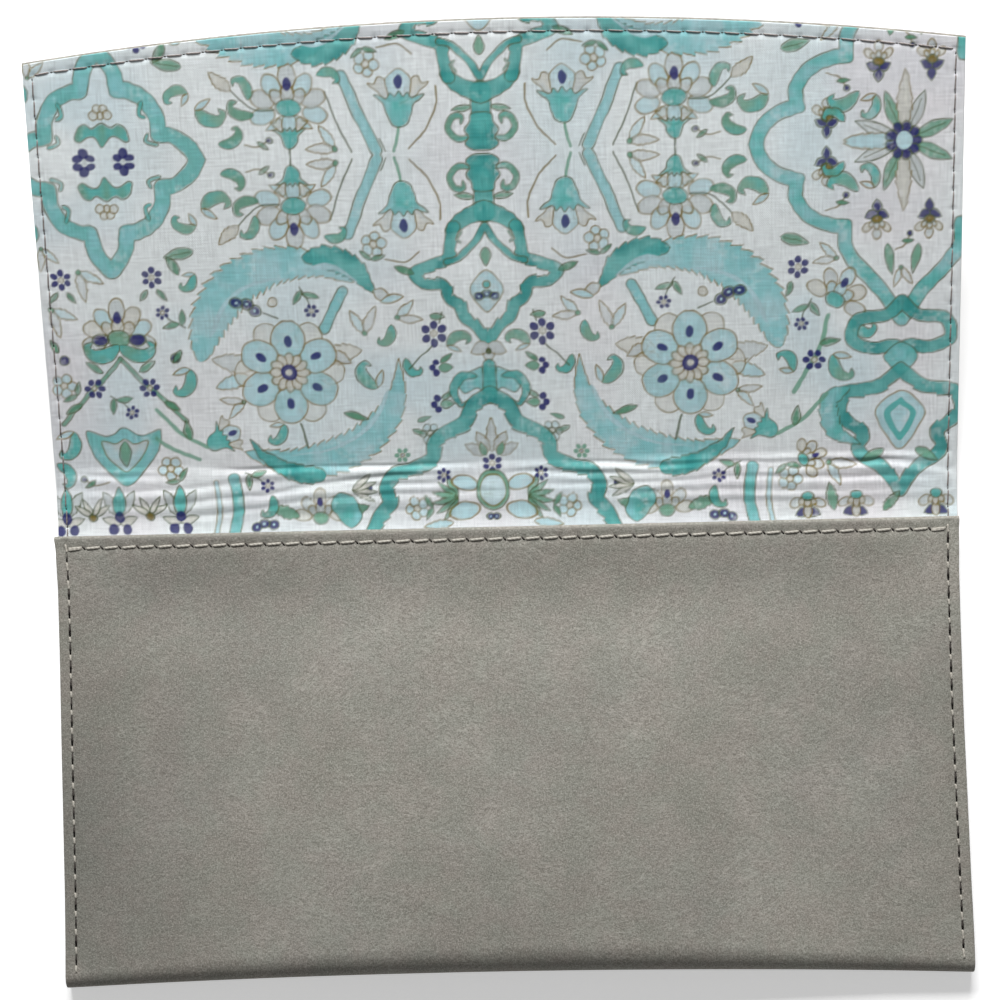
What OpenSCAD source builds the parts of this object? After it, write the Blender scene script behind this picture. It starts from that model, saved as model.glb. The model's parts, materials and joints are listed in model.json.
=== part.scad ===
// Fold-over wallet with a lined pocket, a two-crease flap and a hidden magnet clasp.
// It lies on its back with the flap open, as it falls after it has been undone.
// X runs along the mouth, Y from the bottom fold towards the flap, Z up from the table.
// The origin is on the table, under the middle of the pocket's back.

/* [Pocket] */
// Width of the wallet from side edge to side edge
pocket_w = 200; // [150:1:240]
// Depth of the pocket from the mouth to the bottom fold at its corners
pocket_h = 100.5; // [90:0.5:140]
// Clear room inside the pocket at its middle
pocket_gap = 5.6; // [4.8:0.1:9]
// Clear room between the two linings at the side seams
seam_gap = 0.4; // [0.2:0.1:1]
// Depth of the hollow inside the bottom fold at its middle
fold_hollow_mid = 4.7; // [3:0.1:8]
// Depth of the hollow inside the bottom fold at the side seams
fold_hollow_side = 0.9; // [0.4:0.1:2]
// How far the bottom fold draws back at its middle, where the pocket is thicker
fold_draw = 2.4; // [0:0.1:4]

/* [Layers] */
// Thickness of the leather
leather_t = 1; // [0.7:0.1:1.6]
// Thickness of the fleece between leather and lining
fleece_t = 1; // [0.7:0.1:1.6]
// Thickness of the cotton lining
lining_t = 0.3; // [0.2:0.05:0.5]
// Clear gap between one layer and the next
layer_gap = 0.02; // [0.01:0.01:0.04]

/* [Mouth hem] */
// Width of the leather turned in behind the mouth
hem_w = 8; // [5:0.5:12]
// Width over which the turned-in edge is pared down to nothing
pared_w = 2; // [1:0.5:4]
// Distance from the mouth down to the top edge of the front lining
hem_lining_drop = 1.6; // [1:0.1:3]

/* [Spine] */
// Distance from the mouth to the lower crease
mouth_to_crease = 3; // [1.5:0.5:6]
// Clear gap between the layers on the two sides of a crease
crease_gap = 0.3; // [0.2:0.05:0.6]
// Room between the closed flap and the front of the pocket
flap_clear = 0.4; // [0.3:0.1:1.5]
// Height of the gathers that the open flap pushes up in the lining of the spine
gather_h = 0.35; // [0.1:0.05:0.6]

/* [Flap] */
// Length of the flap at its middle from the upper crease to the tip
flap_mid = 99.4; // [85:0.1:110]
// How much shorter the flap is at its side edges
tip_rise = 6.6; // [2:0.1:12]
// Distance that the lining stays back from the cut edge of the leather
lining_inset = 0.6; // [0.3:0.1:1.5]
// Distance that the fleece stays back from the cut edge of the leather
fleece_inset = 1; // [0.7:0.1:3]

/* [Clasp] */
// Diameter of a magnet
magnet_d = 15; // [8:0.5:20]
// Distance from the upper crease to the middle of the flap's magnet
magnet_reach = 72.5; // [40:0.5:76]
// Clear gap all round a magnet
magnet_clear = 0.05; // [0.03:0.01:0.1]

/* [Rest] */
// Angle in degrees at which each of the two creases rests when the flap is open
rest_fold = 8; // [0:1:20]

/* [Hidden] */

leather_colour = [0.60, 0.585, 0.555];
fleece_colour = [0.93, 0.92, 0.89];
lining_colour = [0.72, 0.86, 0.86];
magnet_colour = [0.72, 0.73, 0.75];

half_w = pocket_w / 2;
mouth_y = pocket_h / 2;
wall = leather_t + fleece_t + lining_t;
pocket_t_mid = 2 * wall + pocket_gap;
pocket_t_side = 2 * wall + seam_gap;
// The turned allowance is pared down to this share of the fleece's room
hem_skive_share = 0.6;
hem_t = leather_t + fleece_t * hem_skive_share;
pocket_end = mouth_to_crease - crease_gap / 2;
spine_w = pocket_t_mid - wall + flap_clear;
magnet_t = fleece_t - 2 * magnet_clear;
magnet_hole_d = magnet_d + 2 * magnet_clear;
clasp_y = mouth_to_crease - magnet_reach;
tip_r = (half_w * half_w + tip_rise * tip_rise) / (2 * tip_rise);

// Counts of steps along the pocket's width, round its fold and round its hem
width_steps = 20;
fold_steps = 12;
hem_steps = 3;
hem_tip_angle = 15;
gathers = 3;
gather_steps = 10;
round_steps = 96;

// How full the pocket is at a distance x from its middle: 1 there and 0 at the side seams
function fullness(x) = 1 - (x / half_w) * (x / half_w);
function between(a, b, share) = a + (b - a) * share;
function pocket_t(x) = between(pocket_t_side, pocket_t_mid, fullness(x));
function fold_len(x) = wall + between(fold_hollow_side, fold_hollow_mid, fullness(x));
function fold_y(x) = -pocket_h + fold_draw * fullness(x) + fold_len(x);

// A half ellipse round the bottom fold, from the front face to the back face, depth d below the skin
function fold_arc(x, d) = [
    for (i = [0 : fold_steps])
        let (a = 90 + 180 * i / fold_steps)
        [
            fold_y(x) + (fold_len(x) - d) * cos(a),
            pocket_t(x) / 2 + (pocket_t(x) / 2 - d) * sin(a)
        ]
];
function flipped(points) = [for (i = [len(points) - 1 : -1 : 0]) points[i]];

// A layer's section is two lists of as many points each, its outer face and then its inner face.
// Both run from the mouth down the front, round the fold and up the back to the lower crease.
function layer_face(x, d, top) = concat(
    [[top, pocket_t(x) - d]],
    fold_arc(x, d),
    [[pocket_end, d]]
);

// Half of the round edge at the mouth, from its tip to the top face when side is 1, or to the turned-in
// face when side is -1
function hem_edge(x, side) = [
    for (i = [0 : hem_steps])
        let (a = between(hem_tip_angle, 90, i / hem_steps))
        [
            hem_t / 2 * (cos(a) - 1),
            pocket_t(x) - hem_t / 2 + side * hem_t / 2 * sin(a)
        ]
];

// The leather, whose top edge is turned in behind the mouth and pared down to nothing
function leather_outside(x) = concat(
    hem_edge(x, 1),
    [[-hem_w, pocket_t(x)], [-hem_w - pared_w, pocket_t(x)]],
    fold_arc(x, 0),
    [[pocket_end, 0]]
);
function leather_inside(x) = concat(
    hem_edge(x, -1),
    [[-hem_w, pocket_t(x) - hem_t], [-hem_w - pared_w, pocket_t(x) - leather_t]],
    fold_arc(x, leather_t),
    [[pocket_end, leather_t]]
);

function station(i) = pocket_w * i / width_steps - half_w;

// Joins the sections at every step of the width, given as their outer and inner faces, into a solid
module across_width(outsides, insides) {
    m = len(outsides[0]);
    n = 2 * m;
    points = [
        for (i = [0 : width_steps])
            for (p = concat(outsides[i], flipped(insides[i])))
                [station(i), p[0], p[1]]
    ];
    sides = [
        for (i = [0 : width_steps - 1])
            for (j = [0 : n - 1])
                let (a = i * n + j, b = i * n + (j + 1) % n)
                each [[a, b, b + n], [a, b + n, a + n]]
    ];
    ends = [
        for (j = [0 : m - 2])
            let (c = n - 1 - j, s = width_steps * n)
            each [
                [j, c, c - 1], [j, c - 1, j + 1],
                [s + j, s + c - 1, s + c], [s + j, s + j + 1, s + c - 1]
            ]
    ];
    polyhedron(points = points, faces = concat(sides, ends));
}

// The pocket, drawn with its mouth at zero and then set down over the origin

module at_mouth() {
    translate([0, mouth_y, 0])
    children();
}

module pocket_leather() {
    color(leather_colour)
    at_mouth()
    across_width(
        [for (i = [0 : width_steps]) leather_outside(station(i))],
        [for (i = [0 : width_steps]) leather_inside(station(i))]
    );
}

module pocket_lining() {
    color(lining_colour)
    at_mouth()
    across_width(
        [for (i = [0 : width_steps]) layer_face(station(i), wall - lining_t, -hem_lining_drop)],
        [for (i = [0 : width_steps]) layer_face(station(i), wall, -hem_lining_drop)]
    );
}

// The two panels of fleece stop short of the fold, so that it stays soft
module front_fleece() {
    high = leather_t + layer_gap;
    low = leather_t + fleece_t - layer_gap;
    top = -hem_w - pared_w;
    color(fleece_colour)
    at_mouth()
    difference() {
        across_width(
            [for (i = [0 : width_steps]) panel_face(station(i), pocket_t(station(i)) - high, top)],
            [for (i = [0 : width_steps]) panel_face(station(i), pocket_t(station(i)) - low, top)]
        );
        translate([0, clasp_y, pocket_t_mid - wall])
        cylinder(h = wall, d = magnet_hole_d, $fn = round_steps);
    }
}

module back_fleece() {
    color(fleece_colour)
    at_mouth()
    across_width(
        [for (i = [0 : width_steps]) panel_face(station(i), leather_t + fleece_t - layer_gap, pocket_end)],
        [for (i = [0 : width_steps]) panel_face(station(i), leather_t + layer_gap, pocket_end)]
    );
}
function panel_face(x, z, top) = [[top, z], [fold_y(x), z]];

module front_magnet() {
    color(magnet_colour)
    at_mouth()
    translate([0, clasp_y, pocket_t(magnet_d / 2) - leather_t - magnet_clear - magnet_t])
    cylinder(h = magnet_t, d = magnet_d, $fn = round_steps);
}

// The spine, which stands up and closes the space over the mouth when the flap is shut

module at_spine() {
    translate([0, mouth_y + mouth_to_crease, wall])
    rotate([rest_fold, 0, 0])
    translate([0, 0, -wall])
    children();
}

module spine_strip(low, high, inset) {
    translate([-half_w + inset, crease_gap / 2, low])
    cube([pocket_w - 2 * inset, spine_w - crease_gap, high - low]);
}

module spine_leather() {
    color(leather_colour)
    at_spine()
    spine_strip(0, leather_t, 0);
}

module spine_fleece() {
    color(fleece_colour)
    at_spine()
    spine_strip(leather_t + layer_gap, leather_t + fleece_t - layer_gap, fleece_inset);
}

// The lining is longer than the open spine, so it stands up there in low gathers
module spine_lining() {
    start = crease_gap / 2;
    length = spine_w - crease_gap;
    base = leather_t + fleece_t;
    steps = gathers * gather_steps;
    crest = [
        for (i = [0 : steps])
            [
                start + length * i / steps,
                base + gather_h * (1 - cos(360 * gathers * i / steps)) / 2
            ]
    ];
    top = [for (p = flipped(crest)) [p[0], p[1] + lining_t]];
    color(lining_colour)
    at_spine()
    translate([-half_w + lining_inset, 0, 0])
    rotate([90, 0, 90])
    linear_extrude(height = pocket_w - 2 * lining_inset)
    polygon(concat(crest, top));
}

// The flap, with its tip cut to a shallow arc

module at_flap() {
    at_spine()
    translate([0, spine_w, wall])
    rotate([rest_fold, 0, 0])
    translate([0, 0, -wall])
    children();
}

module flap_outline(inset) {
    intersection() {
        translate([-half_w + inset, crease_gap / 2])
        square([pocket_w - 2 * inset, flap_mid]);
        translate([0, flap_mid - tip_r])
        circle(r = tip_r - inset, $fn = round_steps);
    }
}

module flap_sheet(low, high, inset) {
    translate([0, 0, low])
    linear_extrude(height = high - low)
    flap_outline(inset);
}

module flap_leather() {
    color(leather_colour)
    at_flap()
    flap_sheet(0, leather_t, 0);
}

module flap_fleece() {
    color(fleece_colour)
    at_flap()
    difference() {
        flap_sheet(leather_t + layer_gap, leather_t + fleece_t - layer_gap, fleece_inset);
        translate([0, magnet_reach, 0])
        cylinder(h = wall, d = magnet_hole_d, $fn = round_steps);
    }
}

module flap_lining() {
    color(lining_colour)
    at_flap()
    flap_sheet(leather_t + fleece_t, wall, lining_inset);
}

module flap_magnet() {
    color(magnet_colour)
    at_flap()
    translate([0, magnet_reach, leather_t + magnet_clear])
    cylinder(h = magnet_t, d = magnet_d, $fn = round_steps);
}

pocket_leather();
front_fleece();
back_fleece();
pocket_lining();
front_magnet();
spine_leather();
spine_fleece();
spine_lining();
flap_leather();
flap_fleece();
flap_lining();
flap_magnet();
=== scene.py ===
"""Fold-over wallet: grey leather outside, printed cotton inside, fleece between them and a hidden magnet
clasp. The wallet's lengths are in millimetres until a mesh is made, and the studio's are in metres."""

import json
import math

import bpy
import numpy as np
from mathutils import Euler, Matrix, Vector

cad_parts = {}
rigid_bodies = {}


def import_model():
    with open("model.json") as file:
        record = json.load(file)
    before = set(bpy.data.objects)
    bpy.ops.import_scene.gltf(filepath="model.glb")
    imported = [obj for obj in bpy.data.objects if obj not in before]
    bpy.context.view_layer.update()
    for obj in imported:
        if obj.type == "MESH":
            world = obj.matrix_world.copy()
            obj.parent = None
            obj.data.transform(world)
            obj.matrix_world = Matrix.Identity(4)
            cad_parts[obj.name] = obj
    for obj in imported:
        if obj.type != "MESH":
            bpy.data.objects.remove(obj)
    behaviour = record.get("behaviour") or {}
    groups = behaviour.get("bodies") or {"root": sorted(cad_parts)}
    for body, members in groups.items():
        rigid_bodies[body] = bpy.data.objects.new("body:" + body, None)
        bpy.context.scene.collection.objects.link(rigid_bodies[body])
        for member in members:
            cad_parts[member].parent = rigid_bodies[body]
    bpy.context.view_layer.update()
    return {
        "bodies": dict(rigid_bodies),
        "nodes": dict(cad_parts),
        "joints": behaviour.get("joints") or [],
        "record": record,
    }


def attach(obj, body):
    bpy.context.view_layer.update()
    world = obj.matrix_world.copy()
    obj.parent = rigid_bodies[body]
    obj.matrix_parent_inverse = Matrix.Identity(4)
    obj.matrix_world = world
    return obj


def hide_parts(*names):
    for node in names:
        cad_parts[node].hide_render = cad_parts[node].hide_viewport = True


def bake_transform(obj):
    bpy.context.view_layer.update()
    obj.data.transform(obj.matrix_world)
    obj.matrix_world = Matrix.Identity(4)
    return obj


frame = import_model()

MM = 0.001

# Sizes, as in the part
HALF_W = 100.0
MOUTH_Y = 50.25
POCKET_H = 100.5
LEATHER = 1.0
FLEECE = 1.0
LINING = 0.3
LAYER_GAP = 0.02
WALL = LEATHER + FLEECE + LINING
POCKET_GAP = 5.6
SEAM_GAP = 0.4
T_MID = 2 * WALL + POCKET_GAP
T_SIDE = 2 * WALL + SEAM_GAP
FOLD_HOLLOW_MID = 4.7
FOLD_HOLLOW_SIDE = 0.9
FOLD_DRAW = 2.4
HEM_W = 8.0
HEM_PARED = 2.0
HEM_T = 1.6
LINING_DROP = 1.6
CREASE_A = 3.0
SPINE_W = 8.3
CREASE_B = CREASE_A + SPINE_W
FLAP_MID = 99.4
TIP_RISE = 6.6
TIP_S = CREASE_B + FLAP_MID
TIP_R = (HALF_W ** 2 + TIP_RISE ** 2) / (2 * TIP_RISE)
LINING_INSET = 0.3
FLEECE_INSET = 1.0
REST_FOLD = math.radians(8)
MAGNET_R = 7.5
MAGNET_REACH = 72.5
FRONT_MAGNET_D = MAGNET_REACH - CREASE_A
FLAP_MAGNET_S = CREASE_B + MAGNET_REACH

# The strip bends over these stretches, and its pieces part at the middle of the spine
BEND_A = (2.0, 6.0)
BEND_B = (8.3, 12.3)
PART_S = 7.15
EDGE_R = 0.32
CLOTH_EDGE_R = 0.1

# The front dips under the mouth and slopes down to the bottom fold. It is loose but for its sides.
DIP = 0.95
DIP_AT = 15.0
DIP_LEN = 11.0
SLOPE_LEN = 34.0
SLOPE_DROP = 0.5
LOOSE_FROM_SIDE = 22.0

# The flap sways from this place of the strip on, and droops towards its tip
SWAY_FROM = CREASE_B + 2
SWAY_LEN = 20.0
DROOP = 0.7
DROOP_FROM = 52.0
DROOP_LEN = 60.0

# The faint marks of the magnets: each layer is a height, a radius and the width of its slope
FRONT_MARK = ((0.07, MAGNET_R + 1.0, 2.2), (0.04, 5.6, 1.6))
FLAP_MARK = ((0.05, MAGNET_R + 0.8, 1.8),)

# The pocket's sides draw in below the mouth and flare at the bottom: depths, and shifts of each side there
WARP_DEPTHS = (0, 3, 12, 25, 45, 62, 80, 92, 101)
WARP_LEFT = (-0.30, 0.05, 0.42, 0.48, 0.42, 0.42, 0.40, 0.25, 0.05)
WARP_RIGHT = (-0.15, -0.35, -0.55, -0.48, -0.28, 0.12, 0.50, 0.85, 0.95)


# Small helpers

def smooth(t):
    t = np.clip(t, 0.0, 1.0)
    return t * t * (3 - 2 * t)


def between(a, b, share):
    return a + (b - a) * share


def hill(distance, width):
    return np.exp(-distance ** 2 / (2 * width ** 2))


def polar(r, turn):
    """A step of length r in a direction given in degrees."""
    return r * math.cos(math.radians(turn)), r * math.sin(math.radians(turn))


# The noise repeats after this many hills, and its lattice is shifted off the middle of the wallet
NOISE_CELLS = 64
NOISE_SHIFT = (31.3, 17.9)


def noise(x, y, size, seed):
    """Soft random relief from about -1 to 1, with hills about size across."""
    rng = np.random.default_rng(seed)
    table = rng.uniform(-1, 1, (NOISE_CELLS, NOISE_CELLS))
    u = np.asarray(x, float) / size + NOISE_SHIFT[0]
    v = np.asarray(y, float) / size + NOISE_SHIFT[1]
    iu = np.floor(u).astype(int)
    iv = np.floor(v).astype(int)
    fu = smooth(u - iu)
    fv = smooth(v - iv)

    def corner(du, dv):
        return table[(iu + du) % NOISE_CELLS, (iv + dv) % NOISE_CELLS]

    low = between(corner(0, 0), corner(1, 0), fu)
    high = between(corner(0, 1), corner(1, 1), fu)
    return between(low, high, fv)


def mixed_noise(x, y, *layers):
    """Noises added up: each layer is a height, a size and a seed."""
    return sum(height * noise(x, y, size, seed) for height, size, seed in layers)


def srgb(r, g, b):
    """A colour as it is seen on a screen, 0 to 255, as the linear values that a material holds."""
    values = np.array([r, g, b], float) / 255
    linear = np.where(values <= 0.04045, values / 12.92, ((values + 0.055) / 1.055) ** 2.4)
    return tuple(linear)


# Where a point of the strip lies

def fullness(x):
    return 1 - (x / HALF_W) ** 2


def pocket_t(x):
    return between(T_SIDE, T_MID, fullness(x))


def fold_len(x):
    return WALL + between(FOLD_HOLLOW_SIDE, FOLD_HOLLOW_MID, fullness(x))


def panel_len(x):
    """Distance from the mouth down to where the bottom fold begins."""
    return POCKET_H - FOLD_DRAW * fullness(x) - fold_len(x)


def looseness(x):
    """1 over most of the front and 0 at the side seams, where the leather is held."""
    return smooth((HALF_W - np.abs(x)) / LOOSE_FROM_SIDE)


def front_drop(x, d):
    """How far the front sinks towards the bottom fold."""
    start = panel_len(x) - SLOPE_LEN
    share = np.clip((d - start) / SLOPE_LEN, 0.0, 1.0)
    return SLOPE_DROP * (1 - np.cos(share * math.pi / 2)) * looseness(x)


def front_sag(x, d):
    """The front's broad form: a dip under the mouth and a long slope down to the bottom fold."""
    dip = DIP * np.exp(-((d - DIP_AT) / DIP_LEN) ** 2)
    sway = mixed_noise(x, d, (0.17, 38, 3), (0.09, 19, 4))
    sway = (sway - 0.12) * smooth(d / 12.0)
    return (sway - dip) * looseness(x) - front_drop(x, d)


def magnet_mark(across, along, layers):
    """How far a face stands off over a magnet, from the distances to the magnet's middle."""
    r = np.hypot(across, along)
    return sum(height * smooth((radius - r) / slope) for height, radius, slope in layers)


def front_relief(x, d):
    """Height of the front above or below the plain solid's skin, at a distance d below the mouth."""
    fine = mixed_noise(x, d, (0.03, 7, 5), (0.012, 2.6, 6)) * smooth(d / 4.0)
    return front_sag(x, d) + fine + magnet_mark(x, d - FRONT_MAGNET_D, FRONT_MARK)


def warp_x(x, d):
    """The real pocket isn't quite square."""
    share = x / HALF_W
    to_left = np.interp(d, WARP_DEPTHS, WARP_LEFT) * np.clip(-share, 0, 1)
    to_right = np.interp(d, WARP_DEPTHS, WARP_RIGHT) * np.clip(share, 0, 1)
    return x + to_left + to_right


def front_point(x, d, h):
    """A point h below the skin of the front, at a distance d below the mouth."""
    z = pocket_t(x) + front_relief(x, d) - h
    return np.stack([warp_x(x, d), MOUTH_Y - d, z], axis=-1)


def fold_point(x, a, h):
    """A point round the bottom fold: a is 0 at the front and 1 at the back."""
    t = pocket_t(x) + front_relief(x, panel_len(x))
    angle = math.pi * a
    y = -panel_len(x) - (fold_len(x) - h) * np.sin(angle)
    z = t / 2 + (t / 2 - h) * np.cos(angle)
    return np.stack([warp_x(x, -y), MOUTH_Y + y, z], axis=-1)


def turned(y, z, axis_y, bend, s):
    """The strip's bend at a crease, on the lining's face at axis_y."""
    angle = REST_FOLD * smooth((s - bend[0]) / (bend[1] - bend[0]))
    cosine = np.cos(angle)
    sine = np.sin(angle)
    dy = y - axis_y
    dz = z - WALL
    return axis_y + dy * cosine - dz * sine, WALL + dy * sine + dz * cosine


def strip_point(x, s, h):
    """A point of the back, spine or flap: s runs from the mouth towards the tip, and h up from the skin."""
    y = s + 0.0 * x
    z = h + 0.0 * x
    y, z = turned(y, z, CREASE_B, BEND_B, s)
    y, z = turned(y, z, CREASE_A, BEND_A, s)
    d = np.maximum(-s, 0.0)
    wx = between(x, warp_x(x, d), smooth(d / 10.0))
    return np.stack([wx, MOUTH_Y + y, z], axis=-1)


def tip_at(x):
    """The strip coordinate of the flap's tip at x."""
    return TIP_S - TIP_R + np.sqrt(TIP_R ** 2 - x ** 2)


def flap_wave(x, s):
    """The flap isn't quite flat: it sways a little, away from the front that it shuts on."""
    sway = mixed_noise(x, s, (0.18, 45, 11), (0.08, 19, 12)) - 0.2
    droop = DROOP * np.clip((s - DROOP_FROM) / DROOP_LEN, 0, 1) ** 2
    return sway * smooth((s - SWAY_FROM) / SWAY_LEN) - droop


# Meshes

def new_mesh(name, points, coords, face_sets, material):
    """points and coords are in millimetres, and face_sets holds arrays of faces with as many corners each."""
    mesh = bpy.data.meshes.new(name)
    mesh.vertices.add(len(points))
    mesh.vertices.foreach_set("co", (np.asarray(points, float) * MM).astype(np.float32).ravel())
    sizes = np.concatenate([np.full(len(f), f.shape[1], np.int32) for f in face_sets if len(f)])
    loops = np.concatenate([f.ravel() for f in face_sets if len(f)]).astype(np.int32)
    starts = np.concatenate([[0], np.cumsum(sizes)[:-1]]).astype(np.int32)
    mesh.loops.add(len(loops))
    mesh.loops.foreach_set("vertex_index", loops)
    mesh.polygons.add(len(sizes))
    mesh.polygons.foreach_set("loop_start", starts)
    mesh.polygons.foreach_set("loop_total", sizes)
    mesh.polygons.foreach_set("use_smooth", np.ones(len(sizes), bool))
    mesh.update(calc_edges=True)
    mesh.validate()
    strip = mesh.attributes.new("strip", "FLOAT_VECTOR", "POINT")
    strip.data.foreach_set("vector", np.asarray(coords, np.float32).ravel())
    piece = bpy.data.objects.new(name, mesh)
    bpy.context.scene.collection.objects.link(piece)
    mesh.materials.append(material)
    return piece


def grid_quads(rows, cols, first=0):
    r, c = np.meshgrid(np.arange(rows - 1), np.arange(cols - 1), indexing="ij")
    a = (r * cols + c).ravel() + first
    return np.stack([a, a + 1, a + cols + 1, a + cols], axis=1)


def tube_quads(index):
    """Faces between neighbouring rings of points, and the two end faces."""
    beside_it = np.roll(index, -1, axis=1)
    quads = np.stack([index[:-1], index[1:], beside_it[1:], beside_it[:-1]], axis=-1).reshape(-1, 4)
    return quads, np.stack([index[0], index[-1][::-1]])


def ring(rows, cols, first=0):
    """Indices of the grid's border, once round."""
    index = first + np.arange(rows * cols).reshape(rows, cols)
    return np.concatenate([index[0, :-1], index[:-1, -1], index[-1, :0:-1], index[:0:-1, 0]])


def slab(name, grids, skip, tops, material, edge=None):
    """A closed sheet with thickness. grids holds x, the place along the strip, and the points of its outer
    and inner face. The inner face has every skip-th row and column, and many-sided faces join both round the
    edge. tops are the third coordinate that the material reads on the two faces."""
    x, along, outer, inner = grids
    outer_coords = np.stack([x, along, 0 * x + tops[0]], axis=-1)
    inner_coords = np.stack([x, along, 0 * x + tops[1]], axis=-1)[::skip, ::skip]
    inner = inner[::skip, ::skip]
    rows, cols = outer.shape[:2]
    small_rows, small_cols = inner.shape[:2]
    assert (rows - 1) % skip == 0 and (cols - 1) % skip == 0, name
    points = np.concatenate([outer.reshape(-1, 3), inner.reshape(-1, 3)])
    coords = np.concatenate([outer_coords.reshape(-1, 3), inner_coords.reshape(-1, 3)])
    face = grid_quads(rows, cols)
    back = grid_quads(small_rows, small_cols, rows * cols)
    fine = ring(rows, cols)
    rough = ring(small_rows, small_cols, rows * cols)
    steps = np.arange(len(rough))[:, None] * skip + np.arange(skip + 1)[None, :]
    near = fine[steps % len(fine)]
    wall = np.concatenate([near, np.roll(rough, -1)[:, None], rough[:, None]], axis=1)
    mid_r = rows // 2
    mid_c = cols // 2
    p = outer[mid_r, mid_c]
    normal = np.cross(outer[mid_r, mid_c + 1] - p, outer[mid_r + 1, mid_c] - p)
    if normal @ (p - inner[mid_r // skip, mid_c // skip]) > 0:
        back = back[:, ::-1]
        wall = wall[:, ::-1]
    else:
        face = face[:, ::-1]
    piece = new_mesh(name, points, coords, [face, back, wall], material)
    is_wall = np.arange(len(face) + len(back) + len(wall)) >= len(face) + len(back)
    piece.data.polygons.foreach_set("use_smooth", ~is_wall)
    if edge is not None:
        piece.data.materials.append(edge)
        piece.data.polygons.foreach_set("material_index", is_wall.astype(np.int32))
    return piece


class Rows:
    """A sheet laid out stretch by stretch: x, place along the strip, outer points and inner points."""

    def __init__(self):
        self.grids = [], [], [], []

    def add(self, x, along, outer, inner):
        for grid, part in zip(self.grids, (x + 0 * along, along + 0 * x, outer, inner)):
            grid.append(part)

    def joined(self):
        return [np.concatenate(grid) for grid in self.grids]


def column_of(lo, hi, count, last=False):
    """Even stations from lo to hi, as a column. The last is left out where the next stretch brings it."""
    stations = np.linspace(lo, hi, count + 1)
    return (stations if last else stations[:-1])[:, None]


def parted(stations, first):
    """The same stations with a very short step where two pieces part, so that both shade alike there."""
    stations = stations.copy()
    if first:
        stations[1] = between(stations[0], stations[1], 0.1)
    else:
        stations[-2] = between(stations[-1], stations[-2], 0.1)
    return stations


def with_edges(lo, hi, count, r=EDGE_R):
    """Stations from lo to hi with four short steps at each end, where the edge is rounded."""
    round_in = r * (1 - np.cos(np.linspace(0, math.pi / 2, 5)))
    body = np.linspace(lo + r, hi - r, count + 1)
    return np.concatenate([lo + round_in[:-1], body, hi - round_in[:-1][::-1]])


def rounding(distance, r=EDGE_R):
    """How far a face sinks at this distance from a rounded edge."""
    e = np.clip(distance, 0, r)
    return r - np.sqrt(np.maximum(r * r - (r - e) ** 2, 0))


# Materials

class Nodes:
    """A node tree under short names: each call adds one node and gives its output."""

    def __init__(self, tree):
        self.tree = tree

    def put(self, socket, value):
        """value is a number, a colour, a vector or another node's output."""
        if isinstance(value, bpy.types.NodeSocket):
            self.tree.links.new(value, socket)
        elif isinstance(value, tuple):
            socket.default_value = (*value, 1.0)[:len(socket.default_value)]
        else:
            socket.default_value = value

    def add(self, kind, inputs=(), **settings):
        node = self.tree.nodes.new("ShaderNode" + kind)
        for key, value in settings.items():
            setattr(node, key, value)
        for socket, value in inputs:
            self.put(node.inputs[socket], value)
        return node

    def strip(self):
        return self.add("Attribute", attribute_name="strip").outputs["Vector"]

    def noise(self, vector, scale, detail=2.0, rough=0.5):
        inputs = (("Vector", vector), ("Scale", scale), ("Detail", detail), ("Roughness", rough))
        return self.add("TexNoise", inputs).outputs["Fac"]

    def remap(self, value, a, b, c, d, **settings):
        inputs = (("Value", value), ("From Min", a), ("From Max", b), ("To Min", c), ("To Max", d))
        return self.add("MapRange", inputs, **settings).outputs["Result"]

    def calc(self, operation, *values):
        return self.add("Math", enumerate(values), operation=operation).outputs[0]

    def sum(self, a, b):
        return self.calc("ADD", a, b)

    def product(self, a, b):
        return self.calc("MULTIPLY", a, b)

    def vector(self, operation, *values, **inputs):
        pairs = (*enumerate(values), *inputs.items())
        return self.add("VectorMath", pairs, operation=operation)

    def mix(self, factor, a, b, blend="MIX"):
        """Sockets 0, 6 and 7 are the factor and the two colours."""
        node = self.add("Mix", data_type="RGBA", blend_type=blend)
        for socket, value in ((0, factor), (6, a), (7, b)):
            self.put(node.inputs[socket], value)
        return node.outputs[2]

    def split(self, vector):
        return self.add("SeparateXYZ", ((0, vector),)).outputs

    def spot(self, vector, place, reach):
        """1 at a place of the strip, fading to 0 at a distance of reach."""
        away = self.vector("DISTANCE", vector, (*place, 0)).outputs["Value"]
        return self.remap(away, 0.0, reach, 1.0, 0.0, interpolation_type="SMOOTHSTEP")

    def stretched(self, vector, turn, long, short):
        """The same place, drawn out along a direction for a texture that runs that way."""
        inputs = (("Vector", vector), ("Rotation", (0, 0, math.radians(turn))), ("Scale", (long, short, 1)))
        return self.add("Mapping", inputs, vector_type="TEXTURE").outputs[0]

    def lit_hairlines(self, vector, turn, size, thin, spread, seed):
        """Fine creases in bundles: their pale ridges, a painted highlight that is partly pale wear, and the
        painted shade beside them, each 0 to 1. size is the length and width of a crease, and spread the size
        of a bundle."""
        shifted = self.vector("ADD", vector, (seed, 2 * seed, 3 * seed)).outputs[0]
        wander = self.noise(self.stretched(shifted, turn, *size), 1.0, 3.0, 0.55)
        where = self.remap(self.noise(shifted, 1.0 / spread), 0.48, 0.66, 0.0, 1.0)
        lines = []
        for middle in (0.5, 0.5 + 1.5 * thin):
            off = self.calc("ABSOLUTE", self.calc("SUBTRACT", wander, middle))
            lines.append(self.product(self.remap(off, 0.0, thin, 1.0, 0.0), where))
        return lines

    def bump(self, shader, height, strength, distance):
        inputs = (("Strength", strength), ("Distance", distance), ("Height", height))
        self.put(shader["Normal"], self.add("Bump", inputs).outputs[0])


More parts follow.
